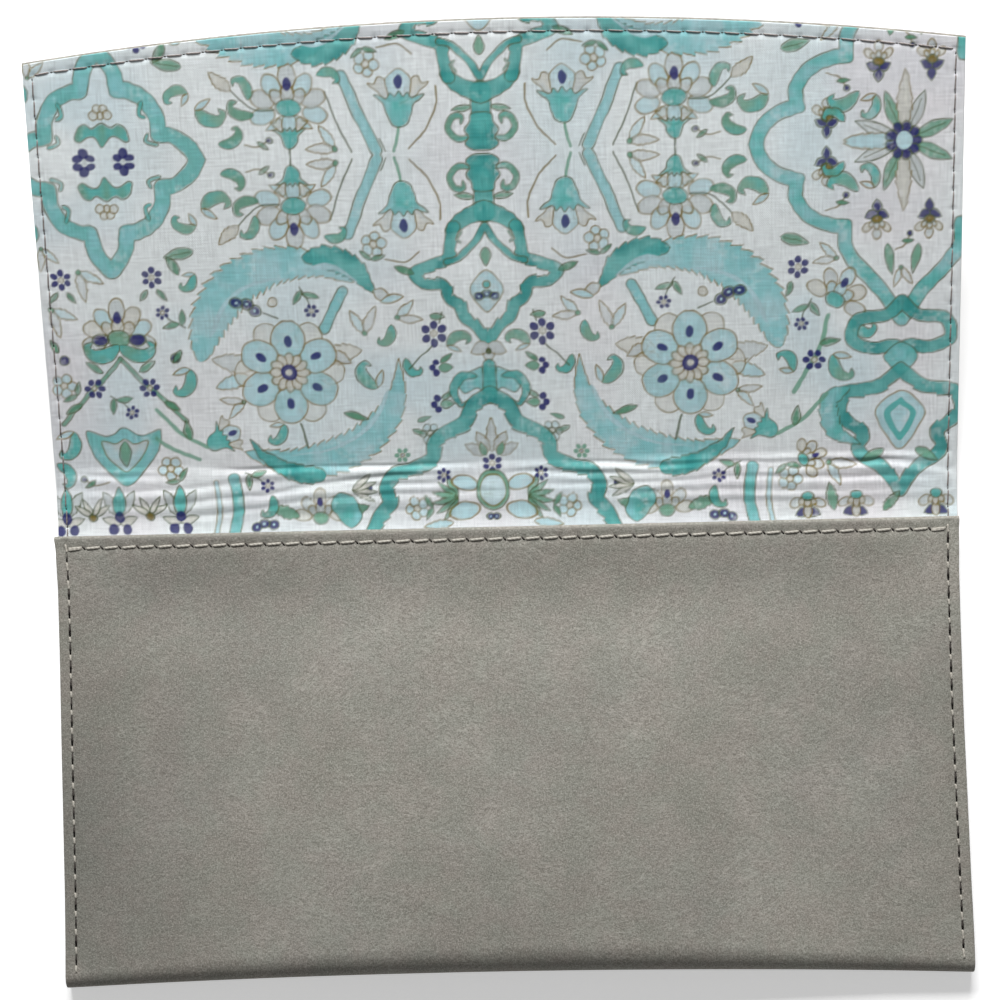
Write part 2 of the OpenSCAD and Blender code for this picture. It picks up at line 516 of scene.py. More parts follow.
def new_material(name, **finish):
    """A material, its nodes and its shader's inputs. finish holds values for the shader's own sockets."""
    material = bpy.data.materials.new(name)
    material.use_nodes = True
    shader = material.node_tree.nodes["Principled BSDF"].inputs
    nodes = Nodes(material.node_tree)
    for socket, value in finish.items():
        nodes.put(shader[socket.replace("_", " ")], value)
    return material, nodes, shader


# Places of the front made paler or darker: x and distance below the mouth, reach, change
TONE_PATCHES = (
    ((-34, 50), 62, 0.10),
    ((26, 50), 62, 0.10),
    ((38, 34), 26, 0.05),
    ((96, 8), 24, 0.10),
    ((-104, 68), 60, -0.24),
    ((-60, 7), 28, -0.09),
    ((-88, 6), 28, -0.12),
    ((60, 90), 24, 0.15),
    ((72, 74), 34, 0.05),
    ((-62, 74), 34, 0.04),
    ((-62, 28), 36, -0.03),
)
LEATHER_TONE = 0.925

# The leather's tinge varies between these, which multiply its colour
GREENISH = (0.978, 1.003, 0.994)
BROWNISH = (1.024, 0.998, 1.000)

# Directions, crease sizes, thinness, bundle sizes and strengths of the leather's creases, each drawn as a
# pale ridge that is painted highlight and partly pale wear, with painted shade beside it
CREASES = (
    (34, (5.0, 1.5), 0.028, 21.0, 0.36),
    (-38, (5.0, 1.5), 0.028, 21.0, 0.36),
    (12, (2.4, 0.75), 0.055, 15.0, 0.36),
    (-20, (2.0, 0.65), 0.055, 12.0, 0.32),
)
FIRST_SEED = 11.3
SEED_STEP = 16.3


def leather_material():
    """Soft grey leather: cloudy and finely grained, its smallest creases rubbed pale and painted in highlight
    and shade.
    """
    material, nodes, shader = new_material("leather", Specular_IOR_Level=0.25)
    vector = nodes.strip()
    cloud = nodes.noise(vector, 0.028, 4.0, 0.55)
    patch = nodes.noise(vector, 0.10, 3.0, 0.5)
    mottle = nodes.noise(vector, 0.62, 3.0, 0.6)
    tinge = nodes.noise(vector, 0.11, 4.0, 0.62)
    fine = nodes.noise(vector, 3.3, 2.0, 0.7)
    coarse = nodes.noise(vector, 1.7, 2.0, 0.6)
    grain = nodes.sum(nodes.product(fine, 0.68), nodes.product(coarse, 0.32))
    washes = (
        (cloud, 0.32, 0.68, 0.0, 1.0, (155, 153, 146)),
        (patch, 0.42, 0.72, 0.0, 0.6, (160, 157, 148)),
        (mottle, 0.34, 0.70, 0.46, 0.0, (122, 118, 109)),
        (grain, 0.36, 0.52, 0.78, 0.0, (101, 99, 91)),
        (grain, 0.52, 0.66, 0.0, 0.66, (192, 189, 180)),
    )
    base = srgb(147, 144, 135)
    for value, low, high, at_low, at_high, colour in washes:
        base = nodes.mix(nodes.remap(value, low, high, at_low, at_high), base, srgb(*colour))
    for i, (turn, size, thin, spread, strength) in enumerate(CREASES):
        # Each crease gets a pale ridge, painted highlight and partly wear, and a dark line beside it, which
        # is painted shade.
        ridge_highlight, beside_it = nodes.lit_hairlines(vector, turn, size, thin, spread, FIRST_SEED + SEED_STEP * i)
        base = nodes.mix(nodes.product(beside_it, 0.6 * strength), base, srgb(108, 104, 96))
        base = nodes.mix(nodes.product(ridge_highlight, strength), base, srgb(192, 189, 180))
    tint = nodes.mix(nodes.remap(tinge, 0.40, 0.60, 0.0, 1.0), GREENISH, BROWNISH)
    base = nodes.mix(1.0, base, tint, "MULTIPLY")
    tone = LEATHER_TONE
    for place, reach, change in TONE_PATCHES:
        tone = nodes.sum(tone, nodes.product(nodes.spot(vector, place, reach), change))
    nodes.put(shader["Base Color"], nodes.vector("SCALE", base, Scale=tone).outputs[0])
    nodes.put(shader["Roughness"], nodes.remap(grain, 0.3, 0.7, 0.66, 0.80))
    pebble = nodes.add("TexVoronoi", (("Vector", vector), ("Scale", 1.5))).outputs["Distance"]
    height = nodes.sum(nodes.sum(pebble, nodes.product(grain, 1.1)), nodes.product(mottle, 1.2))
    nodes.bump(shader, height, 0.5, 0.00008)
    return material


def mottled_material(name, texture, dark, pale, bump, **finish):
    """A material that varies between two colours. texture is a noise's scale, detail and roughness, and bump
    a strength and a distance."""
    material, nodes, shader = new_material(name, **finish)
    fibre = nodes.noise(nodes.strip(), *texture)
    colour = nodes.mix(nodes.remap(fibre, 0.3, 0.7, 0.0, 1.0), srgb(*dark), srgb(*pale))
    nodes.put(shader["Base Color"], colour)
    if bump:
        nodes.bump(shader, fibre, *bump)
    return material


def edge_material():
    """The cut edge, which was painted dark."""
    colours = (80, 73, 76), (104, 96, 97)
    return mottled_material("leather_edge", (1.8, 3.0, 0.6), *colours, (0.5, 0.0001), Roughness=0.7)


def hole_shade_material():
    """The shade in the mouth of a needle hole, painted dark."""
    colours = (46, 42, 40), (74, 69, 65)
    finish = dict(Roughness=0.9, Specular_IOR_Level=0.1)
    return mottled_material("needle_hole_shade", (2.5, 2.0, 0.5), *colours, None, **finish)


def fleece_material():
    colours = (172, 167, 158), (204, 199, 190)
    return mottled_material("fleece", (3.0, 4.0, 0.65), *colours, (0.6, 0.0002), Roughness=0.95)


def steel_material():
    material, nodes, shader = new_material("magnet_steel", Metallic=1.0)
    scratch = nodes.noise(nodes.strip(), 0.9, 3.0, 0.6)
    nodes.put(shader["Base Color"], nodes.mix(scratch, srgb(168, 170, 174), srgb(202, 203, 206)))
    nodes.put(shader["Roughness"], nodes.remap(scratch, 0.3, 0.7, 0.25, 0.4))
    return material


WARP_PITCH = 0.44
WEFT_PITCH = 0.48
SLUB = (5.0, 0.42)
PLY_PITCH = 0.95


def cloth_material():
    """Plain-woven cotton under the print that each corner of the mesh carries."""
    material, nodes, shader = new_material("printed_cotton", Roughness=0.85, Specular_IOR_Level=0.15)
    vector = nodes.strip()
    ink = nodes.add("Attribute", attribute_name="print").outputs["Color"]
    places = nodes.split(vector)
    jitter = nodes.product(nodes.noise(vector, 0.7), 0.5)
    threads = []
    for axis, pitch in ((0, WARP_PITCH), (1, WEFT_PITCH)):
        along = nodes.sum(places[axis], jitter)
        threads.append(nodes.calc("SINE", nodes.product(along, 2 * math.pi / pitch)))
    slubs = [nodes.noise(nodes.stretched(vector, turn, *SLUB), 1.0, 2.0, 0.6) for turn in (0, 90)]
    # The threads and slubs scale the print up and down: painted light and shade of the weave's relief, partly
    # the yarn's own uneven tone.
    rise = nodes.sum(nodes.product(nodes.product(*threads), 0.35), nodes.sum(*slubs))
    shade = nodes.remap(rise, 0.35, 1.65, 0.68, 1.29)
    nodes.put(shader["Base Color"], nodes.vector("SCALE", ink, Scale=shade).outputs[0])
    nodes.bump(shader, rise, 0.5, 0.00006)
    return material


def thread_material(name, colour, dark):
    material, nodes, shader = new_material(name, Roughness=0.6)
    along, around, _ = nodes.split(nodes.strip())
    # The ply stripes along the twist are painted shade: the darker colour marks the grooves between the
    # plies.
    turn = nodes.sum(nodes.product(along, 2 * math.pi / PLY_PITCH), around)
    ply = nodes.remap(nodes.calc("SINE", turn), -1, 1, 0, 1)
    nodes.put(shader["Base Color"], nodes.mix(ply, srgb(*dark), srgb(*colour)))
    nodes.bump(shader, ply, 0.5, 0.00008)
    return material


# The leather

def hem_depth(d):
    """Thickness of the leather at the mouth, with its turned-in edge, and below."""
    return between(HEM_T, LEATHER, smooth((d - HEM_W) / HEM_PARED))


# Faces across the leather, down the front, round the bottom fold, up the back, over half the spine and on the
# flap, and how many of them one face of the leather's underside spans
LEATHER_COLS = 400
FRONT_ROWS = 196
FOLD_ROWS = 28
BACK_ROWS = 48
SPINE_ROWS = 16
FLAP_LEATHER_COLS = 200
FLAP_LEATHER_ROWS = 104
LEATHER_SKIP = 4

# Where the leather's texture is read on the folded edge, the back and the flap, and how far it is drawn out
# round the bottom fold
LIP_TEXTURE = -2.0
BACK_TEXTURE = 115
FLAP_TEXTURE = 215
FOLD_STRETCH = 2.2

# The folded edge at the mouth: its rows, and the angles over which its outer and inner face run
LIP_ROWS = 8
LIP_OUTER = (-80, 90)
LIP_INNER = (-100, -90)


def lip_rows(x, lo, hi):
    """Points round the folded edge at the mouth, between two angles: distance below the mouth, points."""
    angles = np.radians(column_of(lo, hi, LIP_ROWS))
    r = HEM_T / 2
    d = r * (1 - np.cos(angles)) + 0 * x
    points = front_point(x + 0 * d, 0 * d + r, r + 0 * d)
    points[..., 1] = MOUTH_Y - d
    points[..., 2] += r * np.sin(angles)
    return d, points


def leather_pocket_grids():
    """The leather of the pocket: hem, front, bottom fold, back and half the spine."""
    xs = with_edges(-HALF_W, HALF_W, LEATHER_COLS)
    sink = rounding(HALF_W - np.abs(xs))[None, :]
    x = xs[None, :]
    rows = Rows()

    d, lip = lip_rows(x, *LIP_OUTER)
    lip[..., 2] -= sink
    rows.add(x, d + LIP_TEXTURE, lip, lip_rows(x, *LIP_INNER)[1])

    r = HEM_T / 2
    d = r + column_of(0, 1, FRONT_ROWS) * (panel_len(x) - r)
    xx = x + 0 * d
    rows.add(x, d, front_point(xx, d, sink + stitch_dent(xx, d)), front_point(xx, d, hem_depth(d) - sink))

    a = column_of(0, 1, FOLD_ROWS)
    xx = x + 0 * a
    outer = fold_point(xx, a, sink)
    along = panel_len(xx) + a * FOLD_STRETCH * fold_len(xx)
    rows.add(x, along, outer, fold_point(xx, a, LEATHER - sink))

    back = -column_of(1, 0, BACK_ROWS) * panel_len(x)
    spine = parted(np.linspace(0, PART_S, SPINE_ROWS + 1), False)[:, None] + 0 * x
    for s in (back, spine):
        xx = x + 0 * s
        along = BACK_TEXTURE + (panel_len(xx) + s)
        rows.add(x, along, strip_point(xx, s, sink), strip_point(xx, s, LEATHER - sink))
    return rows.joined()


def leather_pocket_piece(material, edge):
    grids = leather_pocket_grids()
    piece = slab("leather_pocket", grids, LEATHER_SKIP, (0, LEATHER), material, edge)
    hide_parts("pocket_leather", "spine_leather")
    return piece


def flap_grid(count_x, count_s, inset, r=EDGE_R):
    """x, s and distance to the cut edge over the flap's outline, from the spine's middle to the tip."""
    xs = with_edges(-HALF_W + inset, HALF_W - inset, count_x, r)
    round_in = r * (1 - np.cos(np.linspace(0, math.pi / 2, 5)))
    x = xs[None, :] + np.zeros((count_s + 5, 1))
    end = tip_at(x) - inset
    shares = parted(np.linspace(0, 1, count_s + 1), True)
    s = PART_S + shares[:, None] * (end[0] - r - PART_S)
    tail = end[0][None, :] - round_in[:-1][::-1][:, None]
    s = np.concatenate([s, tail])
    edge = np.minimum(HALF_W - inset - np.abs(x), end - s)
    return x, s, edge


def leather_flap_piece(material, edge_colour):
    x, s, edge = flap_grid(FLAP_LEATHER_COLS, FLAP_LEATHER_ROWS, 0)
    sink = rounding(edge)
    wave = flap_wave(x, s)
    grids = x, FLAP_TEXTURE + s, strip_point(x, s, sink + wave), strip_point(x, s, LEATHER - sink + wave)
    piece = slab("leather_flap", grids, LEATHER_SKIP, (0, LEATHER), material, edge_colour)
    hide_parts("spine_leather", "flap_leather")
    return piece


# The lining

# Faces across and along the lining, whose corners carry the print
LINING_COLS = 792
FLAP_ROWS = 412
MOUTH_ROWS = 56
INSIDE_ROWS = 32
INSIDE_FOLD_ROWS = 16
LINING_SKIP = 8

# The lining's underside lies this far over the fleece, and its sides this far inside the leather's
CLOTH_GAP = 0.02
POCKET_INSET = 0.15

# Below this place of the back the lining has larger faces
FINE_FROM = -7.0

# Where the print is read inside the front, and how far it is stretched round the bottom fold
INSIDE_PRINT = -230
PRINT_STRETCH = 1.5

# Furrows in the lining over the spine. Each is a line of (x, s) points with its depth.
FURROWS = (
    (((-99, 13.6), (-84, 12.9), (-70, 13.0)), 0.20),
    (((-66, 14.4), (-46, 13.9), (-24, 14.2), (-6, 15.0)), 0.30),
    (((10, 14.2), (42, 12.9), (70, 13.4), (98, 12.0)), 0.26),
    (((-98, 10.2), (-82, 9.4), (-66, 10.7), (-50, 12.1)), 0.15),
    (((-53, 8.6), (-38, 10.4), (-23, 12.2), (-12, 12.7)), 0.22),
    (((-94, 6.9), (-80, 6.1), (-64, 7.8), (-46, 8.7), (-26, 10.0), (-6, 10.5)), 0.14),
    (((-78, 3.4), (-62, 4.6), (-48, 6.0), (-30, 7.3), (-14, 8.2), (4, 8.4)), 0.13),
    (((-56, 2.4), (-34, 3.3), (-12, 4.7), (6, 5.3)), 0.06),
    (((-4, 12.4), (22, 11.3), (48, 11.7), (78, 12.6), (99, 10.8)), 0.20),
    (((4, 9.2), (30, 9.0), (56, 9.9), (88, 9.0), (99, 8.4)), 0.16),
    (((22, 6.4), (40, 7.0), (60, 6.5), (82, 6.1), (98, 6.5)), 0.10),
    (((30, 4.1), (50, 4.3), (74, 3.6)), 0.05),
)

# A furrow's section: its cut and the two rims beside it, each a shift, a width and a share of the depth
FURROW_SECTION = ((0.0, 0.50, 1.0), (1.15, 0.72, -0.55), (-1.15, 0.80, -0.30))
FURROW_RUN_OUT = 14.0

# Where the lining begins and ends to be loose over the spine, and how far it and its underside stand off:
# stations, heights
PUFF_FROM = -5.0
PUFF_TO = 15.6
PUFF = ((1.0, 3.0, 5.5, 7.2, 9.8, 12.3, 13.4, 14.6), (0.0, 0.14, 0.32, 0.36, 0.52, 0.38, 0.24, 0.0))
HOLLOW = ((2.0, 5.5, 9.8, 12.0, 13.4), (0.0, 0.15, 0.28, 0.16, 0.0))


def soft_steps(s, stations, heights, reach=0.45):
    """The heights over the stations, with the corners between them rounded."""
    shifts = np.linspace(-reach, reach, 5)
    return sum(np.interp(s + shift, stations, heights) for shift in shifts) / len(shifts)


def crease_puff(x, s):
    """The lining is loose over the open spine: it bows up there, with shallow furrows across it."""
    uneven = (0.07 + 0.07 * noise(x, s, 14, 21)) * smooth((s - 1) / 4.0)
    level = soft_steps(s, *PUFF) + uneven + 0.035 * noise(x / 3.0, s, 2.1, 24)
    furrow = np.zeros(np.broadcast(x, s).shape)
    wander = mixed_noise(x, s, (0.45, 13, 22), (0.15, 4.0, 23))
    for points, depth in FURROWS:
        xs, lines = np.array(points, float).T
        starts = smooth((x - xs[0]) / FURROW_RUN_OUT + 0.1)
        ends = starts * smooth((xs[-1] - x) / FURROW_RUN_OUT + 0.1)
        off = s + wander - np.interp(x, xs, lines)
        cut = sum(share * hill(off + shift, width) for shift, width, share in FURROW_SECTION)
        strength = 0.85 + 0.45 * noise(x, 0 * s + 7.0 * lines[0], 17, 25)
        furrow = furrow + depth * ends * strength * cut
    near_spine = smooth((s - PUFF_FROM) / 3.0) * smooth((PUFF_TO - s) / 1.6)
    free = smooth((HALF_W - 0.4 - np.abs(x)) / 3.0)
    return (level * between(0.25, 1, free) - furrow * between(0.3, 1, free)) * near_spine


def lining_rise(x, s):
    """Height of the lining above the plain strip: the flap's sway, the puff over the spine, soft unevenness
    over the fleece, and the faint mark of the magnet."""
    small = 0.06 + mixed_noise(x, s, (0.06, 13, 31), (0.03, 5.5, 32), (0.008, 1.7, 33))
    mark = magnet_mark(x, s - FLAP_MAGNET_S, FLAP_MARK)
    return flap_wave(x, s) + (small + mark) * smooth((s - CREASE_B) / 6.0) + crease_puff(x, s)


def lining_under(s):
    """Height of the underside, which rises from the fleece over the spine, where the lining is loose."""
    return WALL - LINING + CLOTH_GAP + soft_steps(s, *HOLLOW)


def lining_flap_piece(material):
    x, s, edge = flap_grid(LINING_COLS, FLAP_ROWS, LINING_INSET, CLOTH_EDGE_R)
    sink = rounding(edge, CLOTH_EDGE_R)
    outer = strip_point(x, s, WALL - sink + lining_rise(x, s) - seam_pull(x, s))
    inner = strip_point(x, s, lining_under(s) + flap_wave(x, s))
    piece = slab("lining_flap", (x, s, outer, inner), LINING_SKIP, (0, -LINING), material)
    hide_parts("spine_lining", "flap_lining")
    paint(piece)
    return piece


def lining_pocket_grids():
    """The lining of the pocket: inside of the front, bottom fold, back and half the spine."""
    edges = [with_edges(-HALF_W + inset, HALF_W - inset, LINING_COLS, CLOTH_EDGE_R)[None, :]
             for inset in (POCKET_INSET, LINING_INSET)]
    x, narrow = edges
    rows = Rows()

    d = LINING_DROP + column_of(0, 1, INSIDE_ROWS) * (panel_len(x) - LINING_DROP)
    xx = x + 0 * d
    cover = np.maximum(hem_depth(d) + 0.05, WALL - LINING)
    rows.add(x, INSIDE_PRINT + d, front_point(xx, d, cover + LINING), front_point(xx, d, cover))

    a = column_of(0, 1, INSIDE_FOLD_ROWS)
    xx = x + 0 * a
    along = INSIDE_PRINT + panel_len(xx) + a * PRINT_STRETCH * fold_len(xx)
    rows.add(x, along, fold_point(xx, a, WALL), fold_point(xx, a, WALL - LINING))

    s = FINE_FROM - column_of(1, 0, INSIDE_ROWS) * (panel_len(x) + FINE_FROM)
    xx = x + 0 * s
    rows.add(x, s, strip_point(xx, s, WALL), strip_point(xx, s, WALL - LINING))

    s = parted(np.linspace(FINE_FROM, PART_S, MOUTH_ROWS + 1), False)[:, None] + 0 * x
    xx = between(x, narrow, smooth((s + 4.0) / 4.0))
    outer = strip_point(xx, s, WALL + crease_puff(xx, s) - seam_pull(xx, s))
    rows.add(xx, s, outer, strip_point(xx, s, lining_under(s)))
    return rows.joined()


def lining_pocket_piece(material):
    grids = lining_pocket_grids()
    piece = slab("lining_pocket", grids, LINING_SKIP, (0, -LINING), material)
    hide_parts("pocket_lining", "spine_lining")
    paint(piece)
    return piece


# The fleece

FLEECE_LOW = LEATHER + LAYER_GAP
FLEECE_HIGH = LEATHER + FLEECE - LAYER_GAP
FLEECE_SKIP = 4
FLEECE_SIDE = 0.3
FRONT_FLEECE_END = 86.0
FINE_REACH = 8.5
FINE_STEP = 0.5
ROUGH_STEP = 2.6
FLEECE_BACK_ROWS = 40
FLEECE_SPINE_ROWS = 12

# The panel of the flap follows the tip's arc from this far past the magnet on
ARC_FROM = FLAP_MAGNET_S + 9


def fine_near(lo, hi, centre):
    """Stations from lo to hi that lie closer together near centre. Their count less one divides by 4."""
    left = max(1, round((centre - FINE_REACH - lo) / ROUGH_STEP))
    mid = max(1, round(2 * FINE_REACH / FINE_STEP))
    right = max(1, round((hi - centre - FINE_REACH) / ROUGH_STEP))
    mid += (-left - mid - right) % FLEECE_SKIP
    a = np.linspace(lo, centre - FINE_REACH, left + 1)[:-1]
    b = np.linspace(centre - FINE_REACH, centre + FINE_REACH, mid + 1)[:-1]
    c = np.linspace(centre + FINE_REACH, hi, right + 1)
    return np.concatenate([a, b, c])


def fleece_top(x, along, seed, magnet=None):
    """The felted face, with a well where a magnet sits."""
    top = FLEECE_HIGH + np.minimum(0.03 * noise(x, along, 3.1, seed), 0)
    if magnet is None:
        return top
    in_well = np.where(np.hypot(x, along - magnet) < MAGNET_R + 0.2, 1.0, 0.0)
    return between(top, FLEECE_LOW + 0.02, in_well)


def fleece_panel(name, x, along, outer, inner, material):
    return slab(name, (x, along, outer, inner), FLEECE_SKIP, (1, 1), material)


def fleece_front_piece(material):
    xs = fine_near(-HALF_W + FLEECE_SIDE, HALF_W - FLEECE_SIDE, 0)
    ds = fine_near(HEM_W + HEM_PARED, FRONT_FLEECE_END, FRONT_MAGNET_D)
    shares = (ds - ds[0]) / (ds[-1] - ds[0])
    d = ds[:, None] + (shares ** 3)[:, None] * (panel_len(xs)[None, :] - FRONT_FLEECE_END)
    x = xs[None, :] + 0 * d
    outer = front_point(x, d, fleece_top(x, d, 41, FRONT_MAGNET_D))
    piece = fleece_panel("fleece_front", x, d, outer, front_point(x, d, FLEECE_LOW), material)
    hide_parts("front_fleece")
    return piece


def fleece_back_piece(material):
    """The panel in the back and half the strip in the spine."""
    xs = fine_near(-HALF_W + FLEECE_SIDE, HALF_W - FLEECE_SIDE, 0)
    back = -column_of(1, 0, FLEECE_BACK_ROWS) * panel_len(xs)[None, :]
    s = np.concatenate([back, column_of(0, PART_S, FLEECE_SPINE_ROWS, last=True) + 0 * xs[None, :]])
    x = xs[None, :] + 0 * s
    outer = strip_point(x, s, fleece_top(x, s, 42))
    piece = fleece_panel("fleece_back", x, s, outer, strip_point(x, s, FLEECE_LOW), material)
    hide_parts("back_fleece", "spine_fleece")
    return piece


def fleece_flap_piece(material):
    """The panel in the flap and the other half of the strip in the spine."""
    xs = fine_near(-HALF_W + FLEECE_INSET, HALF_W - FLEECE_INSET, 0)
    base = fine_near(PART_S, TIP_S - TIP_RISE - FLEECE_INSET, FLAP_MAGNET_S)
    shares = smooth((base - ARC_FROM) / (base[-1] - ARC_FROM))
    s = base[:, None] + shares[:, None] * (tip_at(xs)[None, :] - FLEECE_INSET - base[-1])
    x = xs[None, :] + 0 * s
    wave = flap_wave(x, s)
    outer = strip_point(x, s, wave + fleece_top(x, s, 43, FLAP_MAGNET_S))
    piece = fleece_panel("fleece_flap", x, s, outer, strip_point(x, s, wave + FLEECE_LOW), material)
    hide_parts("spine_fleece", "flap_fleece")
    return piece


# The magnets

MAGNET_T = 0.9
MAGNET_CHAMFER = 0.12
MAGNET_SIDES = 64


def magnet_piece(name, node, surface, place, depth, material):
    """A chamfered steel disc. surface gives a point of the skin, and depth is how far below it the disc's
    outer face lies."""
    x = np.array([0.0, 1.0, 0.0])
    y = np.array([0.0, 0.0, 1.0]) + place
    at = surface(x, y, depth + np.zeros(3))
    along = (at[1] - at[0]) / np.linalg.norm(at[1] - at[0])
    across = (at[2] - at[0]) / np.linalg.norm(at[2] - at[0])
    down = surface(x[:1], y[:1], np.array([depth + 1.0]))[0] - at[0]
    r = MAGNET_R
    c = MAGNET_CHAMFER
    angles = np.linspace(0, 2 * math.pi, MAGNET_SIDES, endpoint=False)[:, None]
    turn = np.cos(angles) * along + np.sin(angles) * across
    profile = ((r - c, 0.0), (r, c), (r, MAGNET_T - c), (r - c, MAGNET_T))
    points = np.concatenate([at[0] + radius * turn + low * down for radius, low in profile])
    quads, caps = tube_quads(np.arange(len(points)).reshape(len(profile), MAGNET_SIDES))
    if np.dot(np.cross(along, across), down) > 0:
        quads = quads[:, ::-1]
        caps = caps[:, ::-1]
    piece = new_mesh(name, points, points, [quads, caps], material)
    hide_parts(node)
    return piece


def flap_skin(x, s, depth):
    return strip_point(x, s, WALL - depth + flap_wave(x, s))


# Stitches

PITCH = 4.1
MOUTH_INSET = 2.7
SIDE_INSET = 2.5
FLAP_INSET = 2.3
TIP_INSET = 2.8
FIRST_X = -HALF_W + SIDE_INSET
LAST_SIDE_HOLE = POCKET_H - 4.6

# Widths of the groove that a row of stitches presses and of the dent at each hole, and how deep they are
GROOVE = 0.75
DENT = 0.55
CLOTH_GROOVE = 0.6
CLOTH_DENT = 0.45
MOUTH_GROOVE_DEPTH = 0.11
SIDE_GROOVE_DEPTH = 0.24
DENT_DEPTH = 0.16
CLOTH_GROOVE_DEPTH = 0.08
CLOTH_DENT_DEPTH = 0.12

# The sides' groove in the front ends here, and the flap's two rows fade out over this length at their corners
SIDE_GROOVE_END = POCKET_H - 3.6
CORNER = 0.6

# A thread dives over this share of its length at each end. At these shares of its length it has come these
# shares of the way along its stitch.
THREAD_DIVE = 0.18
THREAD_STATIONS = (0, 0.10, 0.90, 1)
THREAD_SHARES = (0.03, 0.06, 0.94, 0.97)

THREAD_STEPS = 11
THREAD_SIDES = 8
HOLE_SIDES = 8
HOLE_DEPTH = 0.3

# The threads: half-widths across and up, how deep the ends go, how far the middle stands off, and how far
# the rims of the holes do
MOUTH_THREAD = dict(wide=0.28, high=0.17, depth=0.4, lift=0.12, above=0.05)
SIDE_THREAD = dict(wide=0.26, high=0.2, depth=0.3, lift=0.10, above=0.06)
BACK_THREAD = dict(wide=0.26, high=0.18, depth=0.4, lift=0.10, above=0.04)
INNER_THREAD = dict(wide=0.16, high=0.12, depth=0.4, lift=0.08, above=0.04)
OUTER_THREAD = dict(wide=0.24, high=0.17, depth=0.4, lift=0.11, above=0.04)

# The rows: gap between two stitches and slant of each, and turn, length and width of the holes. The mouth's
# first and last stitch are sewn twice, and the second thread starts and ends at these steps from their holes.
MOUTH_ROW = (0.8, 0.13)
MOUTH_HOLE = (52, 1.15, 0.42)
DOUBLE_START = (0.3, 0.42)
DOUBLE_END = (-0.5, 0.05)
BACK_ROW = (0.9, 0.1)
BACK_HOLE = (90, 0.8, 0.34)
FLAP_ROW = (0.6, 0.08)
FLAP_HOLE = (0.55, 0.28)


def even_stations(lo, hi):
    """Stitch starts at an even pitch close to PITCH."""
    count = max(1, round((hi - lo) / PITCH))
    return np.linspace(lo, hi, count + 1)


MOUTH_HOLES = even_stations(FIRST_X, -FIRST_X)
SIDE_HOLES = even_stations(MOUTH_INSET, LAST_SIDE_HOLE)
FLAP_SIDE_HOLES = even_stations(-2.0, TIP_S - TIP_RISE - TIP_INSET - 0.6)


def near_row(along, stations, across, width):
    """A dent at each station of a row, from 0 to 1: along and across are distances."""
    place = np.searchsorted(stations, along)
    nearest, before = (stations[np.clip(place - k, 0, len(stations) - 1)] for k in (0, 1))
    step = np.minimum(np.abs(along - nearest), np.abs(along - before))
    return hill(np.hypot(step, across), width)


def stitch_dent(x, d):
    """How far the thread pulls the front's leather in."""
    across = d - MOUTH_INSET
    side = HALF_W - np.abs(x) - SIDE_INSET
    side_groove = SIDE_GROOVE_DEPTH * hill(side, GROOVE) * smooth((SIDE_GROOVE_END - d) / 2.0)
    groove = np.maximum(MOUTH_GROOVE_DEPTH * hill(across, GROOVE), side_groove)
    return groove + DENT_DEPTH * near_row(x, MOUTH_HOLES, across, DENT)


def seam_pull(x, s):
    """How far the flap's stitches pull the lining down."""
    side = HALF_W - np.abs(x) - FLAP_INSET
    tip = tip_at(x) - s - TIP_INSET
    inside_tip = smooth((side + CORNER) / CORNER)
    inside_side = smooth((tip + CORNER) / CORNER)
    row = np.maximum(hill(side, CLOTH_GROOVE) * inside_side, hill(tip, CLOTH_GROOVE) * inside_tip)
    side_dents = near_row(s, FLAP_SIDE_HOLES, side, CLOTH_DENT) * inside_side
    tip_dents = near_row(x, MOUTH_HOLES, tip, CLOTH_DENT) * inside_tip
    return CLOTH_GROOVE_DEPTH * row + CLOTH_DENT_DEPTH * np.maximum(side_dents, tip_dents)


def tube(path, normal, wide, high):
    """Points of a flattened tube along a path, with its wide side across the normal, and their angles."""
    tangent = np.gradient(path, axis=0)
    tangent /= np.linalg.norm(tangent, axis=1)[:, None]
    across = np.cross(tangent, normal)
    across /= np.linalg.norm(across, axis=1)[:, None]
    up = np.cross(across, tangent)
    angles = np.linspace(0, 2 * math.pi, THREAD_SIDES, endpoint=False)
    sideways = wide * np.cos(angles)[None, :, None] * across[:, None, :]
    upwards = high * np.sin(angles)[None, :, None] * up[:, None, :]
    return path[:, None, :] + sideways + upwards, angles


def thread_run(place, start, end, thread):
    """Points, coordinates and faces of one stitch between two places on a surface."""
    t = np.linspace(0, 1, THREAD_STEPS)
    dive = np.clip(np.minimum(t, 1 - t) / THREAD_DIVE, 0, 1)
    heights = (thread["depth"] + thread["lift"]) * np.sin(dive * math.pi / 2) - thread["depth"]
    share = np.interp(t, THREAD_STATIONS, THREAD_SHARES)
    u = between(start[0], end[0], share)
    v = between(start[1], end[1], share)
    path = place(u, v, heights)
    points, angles = tube(path, place(u, v, heights + 1.0) - path, thread["wide"], thread["high"])
    length = np.concatenate([[0], np.cumsum(np.linalg.norm(np.diff(path, axis=0), axis=1))])
    coords = np.zeros(points.shape)
    coords[..., 0] = length[:, None]
    coords[..., 1] = angles[None, :]
    quads, caps = tube_quads(np.arange(length.size * angles.size).reshape(length.size, angles.size))
    return points.reshape(-1, 3), coords.reshape(-1, 3), quads, caps


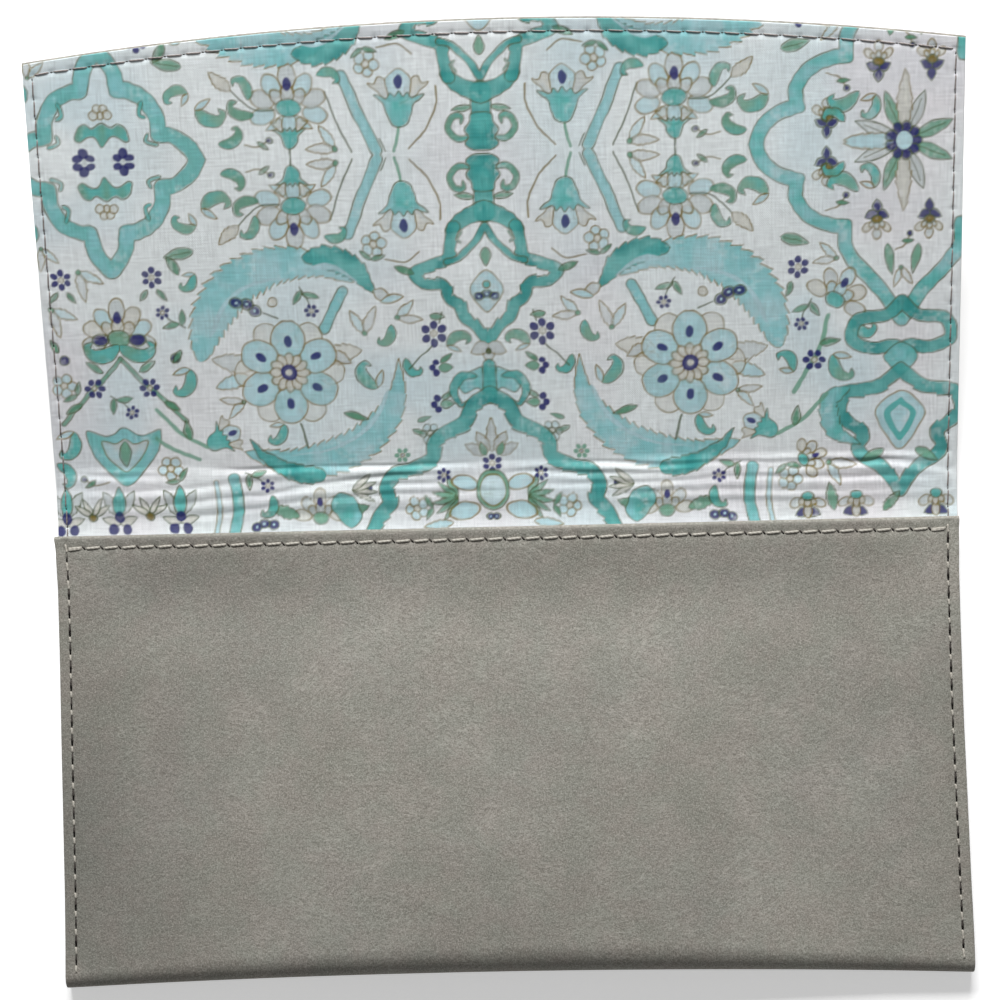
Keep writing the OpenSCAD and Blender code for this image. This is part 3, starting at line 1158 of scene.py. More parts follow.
def needle_hole_shade(place, hole, above):
    """A small funnel painted dark as the shade in a needle hole: its rim lies just over the surface and its
    point under it.
    """
    u, v, turn, long, wide = hole
    angles = np.linspace(0, 2 * math.pi, HOLE_SIDES, endpoint=False)
    along = long / 2 * np.cos(angles)
    across = wide / 2 * np.sin(angles)
    c, s = polar(1, turn)
    us = np.append(u + along * c - across * s, u)
    vs = np.append(v + along * s + across * c, v)
    heights = np.append(np.full(HOLE_SIDES, above), above - HOLE_DEPTH)
    rim = np.arange(HOLE_SIDES)
    sides = np.stack([np.roll(rim, -1), rim, np.full(HOLE_SIDES, HOLE_SIDES)], axis=-1)
    return place(us, vs, heights), np.stack([us, vs, heights], axis=-1), rim[None, :], sides


def right_handed(place):
    """Whether across, along and up make a right-handed set on a surface."""
    probes = ((0, 30, 0), (1, 30, 0), (0, 31, 0), (0, 30, 1))
    at, right, ahead, up = place(*np.array(probes, float).T)
    return np.dot(np.cross(right - at, ahead - at), up - at) > 0


def stitches(name, pairs, holes, place, materials, slot, **thread):
    """One mesh of short threads and of the needle holes between them, which are dark funnels of painted
    shade. Each pair is the two ends of a stitch on a surface, and place turns surface coordinates and a
    height above the surface into a point."""
    points, coords, quads, caps, rims, fans = [], [], [], [], [], []
    first = 0
    for start, end in pairs:
        where, coord, sides, ends = thread_run(place, start, end, thread)
        points.append(where)
        coords.append(coord)
        quads.append(sides + first)
        caps.append(ends + first)
        first += len(where)
    upright = right_handed(place)
    for hole in holes:
        where, coord, rim, sides = needle_hole_shade(place, hole, thread["above"])
        points.append(where)
        coords.append(coord)
        rims.append((rim if upright else rim[:, ::-1]) + first)
        fans.append((sides if upright else sides[:, ::-1]) + first)
        first += len(where)
    sets = [np.concatenate(part) for part in (quads, caps, rims, fans)]
    piece = new_mesh(name, np.concatenate(points), np.concatenate(coords), sets, materials[0])
    # The holes take the second material, their painted shade.
    piece.data.materials.append(materials[1])
    index = np.zeros(sum(len(part) for part in sets), np.int32)
    index[len(sets[0]) + len(sets[1]):] = 1
    piece.data.polygons.foreach_set("material_index", index)
    return piece


def front_surface(x, d, up):
    return front_point(x, d, stitch_dent(x, d) - up)


def back_surface(x, s, up):
    """Outside of the back, spine or flap."""
    return strip_point(x, s, -up + flap_wave(x, s))


def lining_surface(x, s, up):
    return strip_point(x, s, WALL + lining_rise(x, s) - seam_pull(x, s) + up)


def gaps(stations, gap):
    """Where the stitch between each two neighbouring holes starts and ends."""
    return zip(stations[:-1] + gap / 2, stations[1:] - gap / 2)


def row_across(stations, line, gap, slant):
    """Stitches of a row that runs across the wallet. line gives its place along, and slant turns each one."""
    return [((lo, line(lo) + slant), (hi, line(hi) - slant)) for lo, hi in gaps(stations, gap)]


def row_along(stations, x, gap, slant):
    """Stitches of a row that runs along the wallet at x."""
    return [((x - slant, lo), (x + slant, hi)) for lo, hi in gaps(stations, gap)]


# The flap's stitches that end before this place of the strip belong to the spine's lower half
LOW_END = PART_S + 1.2

# How far the corner stitch keeps from the holes at its ends
CORNER_GAP = 0.5


def flap_seam():
    """Stitches and holes round the flap, parted where the spine's middle is."""
    low_pairs, high_pairs, low_holes, high_holes = [], [], [], []
    x_line = HALF_W - FLAP_INSET

    def tip_line(x):
        return tip_at(x) - TIP_INSET

    for side in (-1, 1):
        for pair in row_along(FLAP_SIDE_HOLES, side * x_line, *FLAP_ROW):
            (low_pairs if pair[1][1] < LOW_END else high_pairs).append(pair)
        for s in FLAP_SIDE_HOLES:
            (low_holes if s < LOW_END else high_holes).append((side * x_line, s, 90, *FLAP_HOLE))
        start = side * (x_line - CORNER_GAP), tip_line(FIRST_X)
        end = side * (abs(MOUTH_HOLES[1]) + CORNER_GAP), tip_line(MOUTH_HOLES[1])
        high_pairs.append((start, end))
    high_pairs += row_across(MOUTH_HOLES[1:-1], tip_line, *FLAP_ROW)
    high_holes += [(x, tip_line(x), 0, *FLAP_HOLE) for x in MOUTH_HOLES[1:-1]]
    return (low_pairs, low_holes, "_low", "crease_a"), (high_pairs, high_holes, "", "crease_b")


def mouth_stitches(materials):
    """The row along the mouth, sewn twice over its first and last stitch."""
    pairs = row_across(MOUTH_HOLES, lambda x: MOUTH_INSET, *MOUTH_ROW)
    for x in (MOUTH_HOLES[0], MOUTH_HOLES[-2]):
        start = x + DOUBLE_START[0], MOUTH_INSET + DOUBLE_START[1]
        end = x + PITCH + DOUBLE_END[0], MOUTH_INSET + DOUBLE_END[1]
        pairs.append((start, end))
    holes = [(x, MOUTH_INSET, *MOUTH_HOLE) for x in MOUTH_HOLES]
    return stitches("thread_mouth", pairs, holes, front_surface, materials, "leather", **MOUTH_THREAD)


# The side seams in front: half the length of a stitch, and the length and width of a long hole, each with how
# much it varies. The first and the last three stitches are longer by these amounts, left and right.
SIDE_REACH = (0.52, 0.22)
SIDE_SLANT = 0.08
LONG_HOLE = (2.7, 0.5)
WIDE_HOLE = (0.42, 0.18)
MORE_AT_START = {-1: 0.3, 1: 0.15}
MORE_AT_END = {-1: 0.1, 1: 0.35}
SEED_OF_SIDES = 71


def side_stitches(side, word, rng, materials):
    """One side seam: short stitches over long holes in front, a plain row behind."""
    def varied(size, count):
        return size[0] + size[1] * rng.random(count)

    line = side * (HALF_W - SIDE_INSET)
    reach = varied(SIDE_REACH, len(SIDE_HOLES))
    reach[:3] += MORE_AT_START[side]
    reach[-3:] += MORE_AT_END[side]
    pairs = [((line - SIDE_SLANT, d - r), (line + SIDE_SLANT, d + r)) for d, r in zip(SIDE_HOLES, reach)]
    middles = (SIDE_HOLES[:-1] + SIDE_HOLES[1:]) / 2
    long = varied(LONG_HOLE, len(middles))
    wide = varied(WIDE_HOLE, len(middles))
    holes = [(line, d, 90, a, b) for d, a, b in zip(middles, long, wide)]
    name = f"thread_side_{word}"
    front = stitches(name, pairs, holes, front_surface, materials, "leather", **SIDE_THREAD)
    pairs = [((u, -d), (v, -e)) for (u, d), (v, e) in row_along(SIDE_HOLES, line, *BACK_ROW)]
    holes = [(line, -d, *BACK_HOLE) for d in SIDE_HOLES]
    name = f"thread_side_back_{word}"
    back = stitches(name, pairs, holes, back_surface, materials, "leather", **BACK_THREAD)
    return front, back


def thread_pieces():
    """All the threads, each with the crease that it crosses or the body that it rides."""
    # The dark of the needle holes is painted shade.
    hole = hole_shade_material()
    # Each thread's second, darker colour is the painted shade of its twist.
    light = (thread_material("thread_light", (178, 174, 164), (160, 155, 145)), hole)
    taupe = (thread_material("thread_taupe", (150, 142, 138), (124, 116, 114)), hole)
    pieces = [(mouth_stitches(light), "pocket")]
    rng = np.random.default_rng(SEED_OF_SIDES)
    for side, word in ((-1, "left"), (1, "right")):
        pieces += [(piece, "pocket") for piece in side_stitches(side, word, rng, light)]
    for pairs, holes, word, where in flap_seam():
        sewn = pairs, holes
        inner = stitches("thread_flap" + word, *sewn, lining_surface, taupe, "lining", **INNER_THREAD)
        name = "thread_flap_back" + word
        outer = stitches(name, *sewn, back_surface, taupe, "leather", **OUTER_THREAD)
        pieces += [(inner, where), (outer, where)]
    return pieces


# The print

# It mirrors about these lines of the strip, and again at every REPEAT along it
AXIS_X = -2.5
AXIS_S = 82.8
REPEAT = 83.0

GROUND = srgb(234, 240, 241)
TEAL = srgb(94, 186, 181)
DEEP_TEAL = srgb(60, 153, 150)
AQUA = srgb(168, 213, 219)
PALE_AQUA = srgb(190, 222, 229)
MID_AQUA = srgb(138, 202, 206)
PETAL = srgb(206, 214, 215)
BEIGE = srgb(217, 217, 209)
GREEN = srgb(116, 170, 145)
LEAF = srgb(92, 152, 121)
GOLD = srgb(132, 116, 56)
OLIVE = srgb(80, 94, 54)
NAVY = srgb(42, 44, 112)
ROSE = srgb(234, 229, 233)
SKY = srgb(208, 227, 233)

# Motifs of these colours have a gold outline, and all others an olive one, where they name no outline
GOLD_RIMMED = (AQUA, PALE_AQUA, PETAL, BEIGE, SKY)

# Widths of an outline and of a colour's soft edge, and the room round a motif where its points are sought
LINE = 0.26
SOFT = 0.24
MARGIN = 1.5

# A wash with an outline stops short of it by an uneven gap, and thins out where the cloth took less colour.
# Every wash varies in shade and in strength, and pools along its edge.
WASH_GAP = (0.13, 0.17)
WASH_THINS = 0.34
SHADE_VARIES = 0.11
STRENGTH_VARIES = 0.08
POOL_WIDTH = 0.45

# Strength of an outline, its changes with the wash and with slips of the printing, and its least and most
RIM_STRENGTH = 0.84
RIM_VARIES = (0.28, 0.36)
RIM_LIMITS = (0.28, 1.0)


def spline(points, steps=9, closed=False):
    """A smooth curve through the points."""
    p = np.asarray(points, float)
    if closed:
        p = np.concatenate([p[-1:], p, p[:2]])
    else:
        p = np.concatenate([2 * p[:1] - p[1:2], p, 2 * p[-1:] - p[-2:-1]])
    t = np.linspace(0, 1, steps, endpoint=False)[:, None]
    out = []
    for a, b, c, d in zip(p[:-3], p[1:-2], p[2:-1], p[3:]):
        square = (2 * a - 5 * b + 4 * c - d) * t ** 2
        cube = (3 * b - a - 3 * c + d) * t ** 3
        out.append(0.5 * (2 * b + (c - a) * t + square + cube))
    curve = np.concatenate(out)
    return curve if closed else np.concatenate([curve, p[-2][None]])


def doubled(half, middle=0.0):
    """A closed outline from its right half, which starts and ends on the line that it mirrors about."""
    return [(middle + a, b) for a, b in half] + [(middle - a, b) for a, b in half[-2:0:-1]]


def stepped(u, v, turn, along, across=0.0):
    """The point at steps along a direction in degrees, and across it, from (u, v)."""
    c, s = polar(1, turn)
    return u + along * c - across * s, v + along * s + across * c


def beside(u, v, curve):
    """For each point: its distance from the curve, how far along it is from 0 to 1, and on which side."""
    best = np.full(len(u), np.inf)
    place = np.zeros(len(u))
    hand = np.ones(len(u))
    lengths = np.linalg.norm(np.diff(curve, axis=0), axis=1)
    starts = np.concatenate([[0], np.cumsum(lengths)])
    for a, b, length, start in zip(curve[:-1], curve[1:], lengths, starts):
        if length == 0:
            continue
        d = (b - a) / length
        pu = u - a[0]
        pv = v - a[1]
        t = np.clip(pu * d[0] + pv * d[1], 0, length)
        away = np.hypot(pu - t * d[0], pv - t * d[1])
        near = away < best
        best[near] = away[near]
        place[near] = (start + t[near]) / starts[-1]
        hand[near] = np.sign(d[0] * pv[near] - d[1] * pu[near])
    return best, place, hand


def inside(u, v, curve):
    """Signed distance to a closed curve, below 0 inside."""
    closed = np.concatenate([curve, curve[:1]])
    away, _, _ = beside(u, v, closed)
    odd = np.zeros(len(u), bool)
    for a, b in zip(closed[:-1], closed[1:]):
        crosses = (a[1] > v) != (b[1] > v)
        if a[1] != b[1]:
            odd ^= crosses & (u < (b[0] - a[0]) * (v - a[1]) / (b[1] - a[1]) + a[0])
    return np.where(odd, -away, away)


def tapered(half, place, tip):
    """Half-widths that run out round at both ends. tip is the share of the length that each end takes."""
    return half * np.sqrt(np.clip(np.minimum(place, 1 - place) / tip, 0, 1) + 1e-6)


class Cotton:
    """The points of the cotton, and the colours that the motifs leave on them. Motifs go on both sides of
    the axis, or on one alone while only is -1 or 1."""

    def __init__(self, x, s):
        across = np.abs(x - AXIS_X)
        along = np.abs((s - AXIS_S + REPEAT) % (2 * REPEAT) - REPEAT)
        self.u = across + mixed_noise(across, along, (0.16, 2.6, 51), (0.10, 1.1, 52))
        self.v = along + mixed_noise(across, along, (0.16, 2.6, 53), (0.10, 1.1, 54))
        self.side = np.sign(x - AXIS_X)
        self.only = 0
        self.bleed = mixed_noise(across, along, (0.6, 5.0, 55), (0.4, 1.7, 56))
        self.slip = mixed_noise(across, along, (0.7, 3.4, 60), (0.3, 0.9, 61))
        self.thin = 0.6 * noise(x, along, 2.9, 62) + 0.4 * noise(x, s, 0.75, 63)
        self.grain = noise(x, s, 0.55, 57)
        self.rgb = np.array(GROUND)[None, :] * np.ones((len(x), 1))
        self.used = np.zeros(len(x), bool)
        cool = 0.5 * noise(x, s, 26, 58) + 0.5 * noise(across, along, 12, 59)
        warm = 0.6 * noise(x, s, 31, 64) + 0.4 * noise(across, along, 14, 65)
        self.tint(SKY, 0.75 * smooth(0.15 + 1.2 * cool))
        self.tint(ROSE, 0.70 * smooth(0.10 + 1.2 * warm))

    def tint(self, colour, share):
        self.rgb = between(self.rgb, np.array(colour)[None, :], share[:, None])

    def near(self, u, v, wide, tall=None):
        """The points that lie in a box round (u, v) and may be painted."""
        pick = (np.abs(self.u - u) < wide) & (np.abs(self.v - v) < (tall or wide))
        if self.only:
            pick &= self.side == self.only
        return np.flatnonzero(pick)

    def near_curve(self, curve, width=0.0):
        low = curve.min(axis=0)
        high = curve.max(axis=0)
        return self.near(*(low + high) / 2, (high - low).max() / 2 + width + MARGIN)

    def local(self, pick, u, v, turn):
        """Coordinates round a motif's own middle, turned by an angle in degrees: along it, then across."""
        c, s = polar(1, turn)
        du = self.u[pick] - u
        dv = self.v[pick] - v
        return du * c + dv * s, -du * s + dv * c

    def lay(self, pick, away, colour, rim, strength=0.92, line=LINE, deep=0.16, tone=None):
        """Lays a wash where away is below 0, in uneven strength and a little short of its outline, and a thin
        broken line of the rim's colour round it."""
        if len(pick) == 0:
            return
        if rim == "own":
            rim = GOLD if colour in GOLD_RIMMED else OLIVE
        self.used[pick[away < SOFT]] = True
        bleed = self.bleed[pick]
        short = 0.0 if rim is None else WASH_GAP[0] + WASH_GAP[1] * self.slip[pick]
        cover = np.clip(0.5 - (away + short) / SOFT, 0, 1)
        body = np.array(colour)[None, :] * (1 + SHADE_VARIES * bleed[:, None])
        if tone is not None:
            body = between(body, np.array(tone)[None, :], smooth(0.5 + 0.9 * bleed)[:, None])
        pooled = deep * np.exp(np.minimum(away + short, 0) / POOL_WIDTH)
        body = body * (1 - pooled[:, None])
        alpha = cover * np.clip(strength + STRENGTH_VARIES * bleed, 0, 1)
        if rim is not None:
            alpha = alpha * (1 - WASH_THINS * smooth(-0.1 + 1.3 * self.thin[pick]))
        self.rgb[pick] = between(self.rgb[pick], body, alpha[:, None])
        if rim is not None:
            edge = np.clip(0.5 - (np.abs(away) - line / 2) / SOFT, 0, 1)
            broken = RIM_STRENGTH + RIM_VARIES[0] * bleed + RIM_VARIES[1] * self.slip[pick]
            edge = edge * np.clip(broken, *RIM_LIMITS)
            self.rgb[pick] = between(self.rgb[pick], np.array(rim)[None, :], edge[:, None])

    # Plain shapes. look holds the last settings of lay.

    def dot(self, u, v, r, colour, rim="own", stretch=(1, 1), turn=0, **look):
        pick = self.near(u, v, r * max(stretch) + MARGIN)
        a, b = self.local(pick, u, v, turn)
        away = (np.hypot(a / stretch[0], b / stretch[1]) - r) * min(stretch)
        self.lay(pick, away, colour, rim, **look)

    def wreath(self, u, v, radius, count, r, colour, rim="own", stretch=(1, 1), turn=0, **look):
        """Dots in a ring, each stretched outwards."""
        for k in range(count):
            out = turn + 360 * k / count
            self.dot(*stepped(u, v, out, radius), r, colour, rim, stretch, out, **look)

    def ribbon(self, points, width, colour, rim="own", tip=0.12, **look):
        """A band along a curve, with round ends or, where tip is 0, with cut ones."""
        curve = spline(points)
        pick = self.near_curve(curve, width)
        away, place, _ = beside(self.u[pick], self.v[pick], curve)
        half = width / 2 * np.ones(len(place))
        if tip:
            half = tapered(half, place, tip)
        self.lay(pick, away - half, colour, rim, **look)

    def feather(self, points, width, colour, rim="own", *, teeth, skew=0.5, **look):
        """A long curved leaf with a toothed edge."""
        curve = spline(points)
        pick = self.near_curve(curve, width)
        away, place, _ = beside(self.u[pick], self.v[pick], curve)
        body = np.sin(math.pi * place ** skew) ** 0.75
        toothed = 1 + 0.22 * (0.5 - (place * teeth) % 1.0)
        self.lay(pick, away - width / 2 * body * toothed, colour, rim, **look)

    def leaf(self, u, v, turn, length, width, colour, rim="own", teeth=0, vein=False, **look):
        """A pointed leaf or petal that starts at (u, v) and grows along turn."""
        middle = stepped(u, v, turn, length / 2)
        pick = self.near(*middle, length / 2 + width / 2 + 1.2)
        a, b = self.local(pick, u, v, turn)
        t = np.clip(a / length, 0, 1)
        half = width / 2 * np.sin(math.pi * t ** 0.8) ** 0.8
        if teeth:
            half = half * (1 + 0.25 * (0.5 - (t * teeth) % 1.0))
        past = np.maximum(np.maximum(-a, a - length), 0)
        away = np.hypot(np.maximum(np.abs(b) - half, 0), past)
        away = np.where(away > 0, away, (np.abs(b) - half) * 0.8)
        self.lay(pick, away, colour, rim, **look)
        if vein:
            away = np.maximum(np.abs(b) - 0.02, np.abs(a - length * 0.45) - length * 0.33) - 0.10
            self.lay(pick, away, OLIVE, None, 0.75, deep=0)

    def leaves(self, u, v, turns, *size_and_colour, **look):
        """Leaves that grow from one place in several directions."""
        for turn in turns:
            self.leaf(u, v, turn, *size_and_colour, **look)

    def shape(self, points, colour, **look):
        """A closed curve."""
        curve = spline(points, 7, closed=True)
        pick = self.near_curve(curve)
        self.lay(pick, inside(self.u[pick], self.v[pick], curve), colour, "own", **look)

    def twin(self, centre, points, width, colour, rim="own", cusps=0, **look):
        """A band and its mirror image about the line u = centre, from which the points count across."""
        curve = spline(points)
        low = curve.min(axis=0)
        high = curve.max(axis=0)
        wide = np.abs(curve[:, 0]).max() + width + MARGIN
        tall = (high[1] - low[1]) / 2 + width + MARGIN
        pick = self.near(centre, (low[1] + high[1]) / 2, wide, tall)
        away, place, hand = beside(np.abs(self.u[pick] - centre), self.v[pick], curve)
        half = width / 2 * np.ones(len(place))
        if cusps:
            half = half * (1 + 0.34 * (0.5 - (place * cusps) % 1.0) * (hand > 0))
        self.lay(pick, away - half, colour, rim, **look)

    # Flowers and leaves

    def blossom(self, u, v, r, colour=NAVY, heart=BEIGE, turn=0):
        self.wreath(u, v, 0.66 * r, 6, 0.285 * r, colour, None, (1.15, 1.0), turn, deep=0.1)
        self.dot(u, v, 0.24 * r, heart, GOLD, line=0.2)

    def rosette(self, u, v, r, turn):
        self.wreath(u, v, 0.80 * r, 6, 0.25 * r, BEIGE, turn=turn + 30, strength=0.5)
        self.wreath(u, v, 0.63 * r, 6, 0.34 * r, AQUA, "own", (1.06, 0.94), turn, tone=PALE_AQUA)
        self.wreath(u, v, 0.60 * r, 6, 0.075 * r, NAVY, None, (1.5, 1.0), turn, deep=0)
        self.wreath(u, v, 0.25 * r, 12, 0.095 * r, BEIGE, "own", (1.3, 0.9), turn)
        self.dot(u, v, 0.15 * r, NAVY, None, deep=0)
        self.dot(u, v, 0.06 * r, BEIGE, None, deep=0)

    def trefoil(self, u, v, length, width):
        self.leaves(u, v, (-90, 25, 155), length, width, NAVY)

    def tulip(self, u, v, turn, size, cup, blot=True):
        """Two outer petals that curl away from a pointed middle one, over a cup."""
        def placed(outline, hand=1):
            return [stepped(u, v, turn, a * size, hand * b * size) for a, b in outline]

        petal = [(-0.10, 0.10), (0.02, 0.42), (0.20, 0.62), (0.44, 0.86), (0.43, 0.66), (0.62, 0.54),
                 (0.52, 0.36), (0.20, 0.16)]
        for hand in (-1, 1):
            self.shape(placed(petal, hand), PETAL, strength=0.85, tone=BEIGE)
        half = [(0.80, 0.0), (0.72, 0.20), (0.52, 0.34), (0.24, 0.33), (-0.10, 0.20)]
        self.shape(placed(half) + placed(half[:0:-1], -1), PALE_AQUA, tone=SKY)
        half = [(-0.80, 0.0), (-0.72, 0.20), (-0.48, 0.34), (-0.18, 0.41), (-0.02, 0.58), (0.10, 0.72),
                (0.07, 0.50), (0.02, 0.35), (0.15, 0.24), (0.05, 0.12), (0.20, 0.0)]
        self.shape(placed(half) + placed(half[-2:0:-1], -1), cup, tone=TEAL)
        if blot:
            self.dot(*stepped(u, v, turn, 0.46 * size), 0.12 * size, NAVY, None, (1.6, 1.0), turn, deep=0)

    def fan(self, u, v, turn, size, petals, spread, colours, blot=True, heart=TEAL):
        """A palmette: rounded petals spread from one foot, in two layers."""
        central = (petals - 1) / 2
        for k in sorted(range(petals), key=lambda k: -abs(k - central)):
            out = turn + spread * (k / (petals - 1) - 0.5)
            far = size * (0.82 if k == central else 0.70)
            colour = colours[k % len(colours)]
            self.dot(*stepped(u, v, out, far), 0.23 * size, colour, "own", (1.45, 1.0), out, strength=0.8)
        for out in (turn - 42, turn + 42, turn):
            place = stepped(u, v, out, 0.36 * size)
            self.dot(*place, 0.17 * size, colours[-1], "own", (1.5, 1.0), out, strength=0.8)
        self.dot(u, v, 0.24 * size, heart, "own", (1.0, 1.3), turn)
        if blot:
            self.dot(*stepped(u, v, turn, 0.62 * size), 0.11 * size, NAVY, None, (1.6, 1), turn, deep=0)

    def stem(self, points, colour=OLIVE, width=0.34):
        self.ribbon(points, width, colour, None, tip=0, strength=0.85, deep=0.1)

    def hook(self, u, v, turn, size, colour, hand=1):
        """A small leaf with a curled tip."""
        line = ((0, 0), (0.45, 0.22), (0.85, 0.16), (1.0, -0.12), (0.80, -0.26))
        curve = [stepped(u, v, turn, a * size, b * size * hand) for a, b in line]
        self.feather(curve, 0.42 * size, colour, teeth=0, skew=0.75, tone=TEAL)

    def berries(self, u, v, turn, size, count=3):
        for k in range(count):
            share = k / (count - 1)
            bow = -0.25 * size * (1 - (2 * share - 1) ** 2)
            place = stepped(u, v, turn, (share - 0.5) * (count - 1) * size * 0.95, bow)
            self.dot(*place, 0.50 * size, NAVY, "own", (1.2, 1.0), turn, deep=0.1)
            self.dot(*place, 0.13 * size, PALE_AQUA, None, deep=0)


def column(cloth):
    """Down the middle: knots, a cusped ogee and an arch."""
    # Side scrolls of the knot
    scroll = [(1.8, 3.4), (5.0, 2.9), (7.0, 4.9), (6.3, 7.4), (4.4, 7.5), (4.2, 5.8)]
    cloth.ribbon(scroll, 1.35, LEAF, tip=0.2, tone=TEAL)
    cloth.leaf(2.0, 9.6, -8, 4.4, 1.5, GREEN)
    # Knot
    cloth.ribbon([(0, 3), (0, 13)], 4.2, TEAL, tip=0, tone=DEEP_TEAL)
    knot = [(0, 0.3), (1.9, 0.5), (3.5, 1.7), (2.7, 3.2), (3.6, 4.6), (2.6, 6.4), (2.2, 8.0), (0, 8.4)]
    bow = [(0, 10.2), (2.8, 11.4), (6.4, 13.6), (8.4, 16.6), (6.0, 17.0), (3.6, 15.6), (0, 14.9)]
    for half in (knot, bow):
        cloth.shape(doubled(half), TEAL, tone=DEEP_TEAL)
    # Cusped ogee
    ogee = [(6.9, 16.0), (7.6, 19.4), (8.2, 22.6), (11.6, 24.0), (15.4, 25.6), (13.4, 28.0), (9.4, 28.4),
            (8.2, 31.4), (6.0, 32.8), (5.0, 35.6), (2.8, 37.4), (0, 41.0)]
    cloth.twin(0, ogee, 2.6, TEAL, cusps=15, tone=DEEP_TEAL)
    cloth.twin(0, [(0, 15.8), (2.4, 19.4), (5.6, 22.4), (8.2, 23.4)], 1.5, TEAL, tone=DEEP_TEAL)
    cloth.leaf(0, 20.4, 90, 4.0, 2.2, GREEN)
    cloth.ribbon([(4.9, 16.9), (5.9, 18.4), (5.1, 19.4)], 0.5, LEAF, line=0.2)
    drop = [(0, 25.4), (2.3, 27.2), (3.6, 30.0), (2.2, 32.6), (0, 34.6)]
    cloth.shape(doubled(drop), PETAL, tone=PALE_AQUA)
    cloth.berries(0, 31.2, 0, 1.7)
    cloth.dot(0, 28.6, 0.8, TEAL, GOLD)
    # Side leaves of the ogee
    cloth.leaf(15.6, 25.8, -20, 4.6, 1.7, LEAF)
    cloth.stem([(0, 40.0), (0, 43.0)], TEAL, 0.8)
    # Trefoil and lower knot
    cloth.leaves(0, 41.6, (90, 28, 152), 4.2, 2.9, PETAL)
    cloth.dot(0, 43.2, 0.7, OLIVE, None)
    knot = [(0, 46.8), (3.8, 47.6), (6.8, 50.2), (5.4, 52.6), (2.6, 51.6), (0, 52.8)]
    cloth.shape(doubled(knot), MID_AQUA, tone=TEAL)
    cloth.ribbon([(0, 46.4), (0, 53.5)], 2.8, TEAL, tip=0, tone=DEEP_TEAL)
    scroll = [(2.6, 49.0), (6.0, 48.8), (7.9, 51.8), (6.6, 55.2), (4.4, 54.2)]
    cloth.feather(scroll, 1.9, TEAL, teeth=0, skew=0.7, tone=DEEP_TEAL)
    # Arch
    arch = [(0, 52.8), (3.8, 55.4), (5.6, 59.2), (9.4, 61.2), (12.6, 63.6), (13.2, 67.2), (17.4, 69.4),
            (21.4, 70.4), (23.6, 73.6), (22.8, 77.0), (25.4, 80.2), (27.0, 84.0)]
    cloth.twin(0, arch, 3.2, TEAL, cusps=15, tone=DEEP_TEAL)
    for turn in (-150, -118, -90, -62, -30):
        length = 7.4 if turn == -90 else 5.2
        cloth.leaf(*stepped(0, 67.4, turn, 1.6), turn, length, 2.5, PETAL, teeth=3)
    for hand in (-1, 1):
        cloth.leaf(1.2 * hand, 66.8, -90 + 22 * hand, 3.4, 1.7, GREEN, GOLD)
    cloth.blossom(0, 68.6, 2.2, turn=30)
    # Palmette under the arch
    for turn in (-64, -40, -16, 8, 32, 56):
        cloth.leaf(7.6, 76.4, turn, 6.0, 1.5, GREEN if turn % 3 else BEIGE, OLIVE)
    cloth.dot(6.2, 72.8, 1.7, PALE_AQUA, stretch=(1.7, 1.0), turn=-14)
    cloth.dot(6.4, 79.2, 2.0, PALE_AQUA, stretch=(1.7, 1.0), turn=12)
    cloth.dot(0, 74.6, 3.7, GREEN, stretch=(1.0, 1.25))
    cloth.dot(0, 74.6, 2.9, SKY, stretch=(1.0, 1.25))
    cloth.berries(0, 80.6, 0, 1.4, 2)
    cloth.blossom(10.9, 71.0, 1.7, turn=30)
    cloth.leaf(9.0, 81.8, 8, 6.4, 2.0, PALE_AQUA, teeth=5)


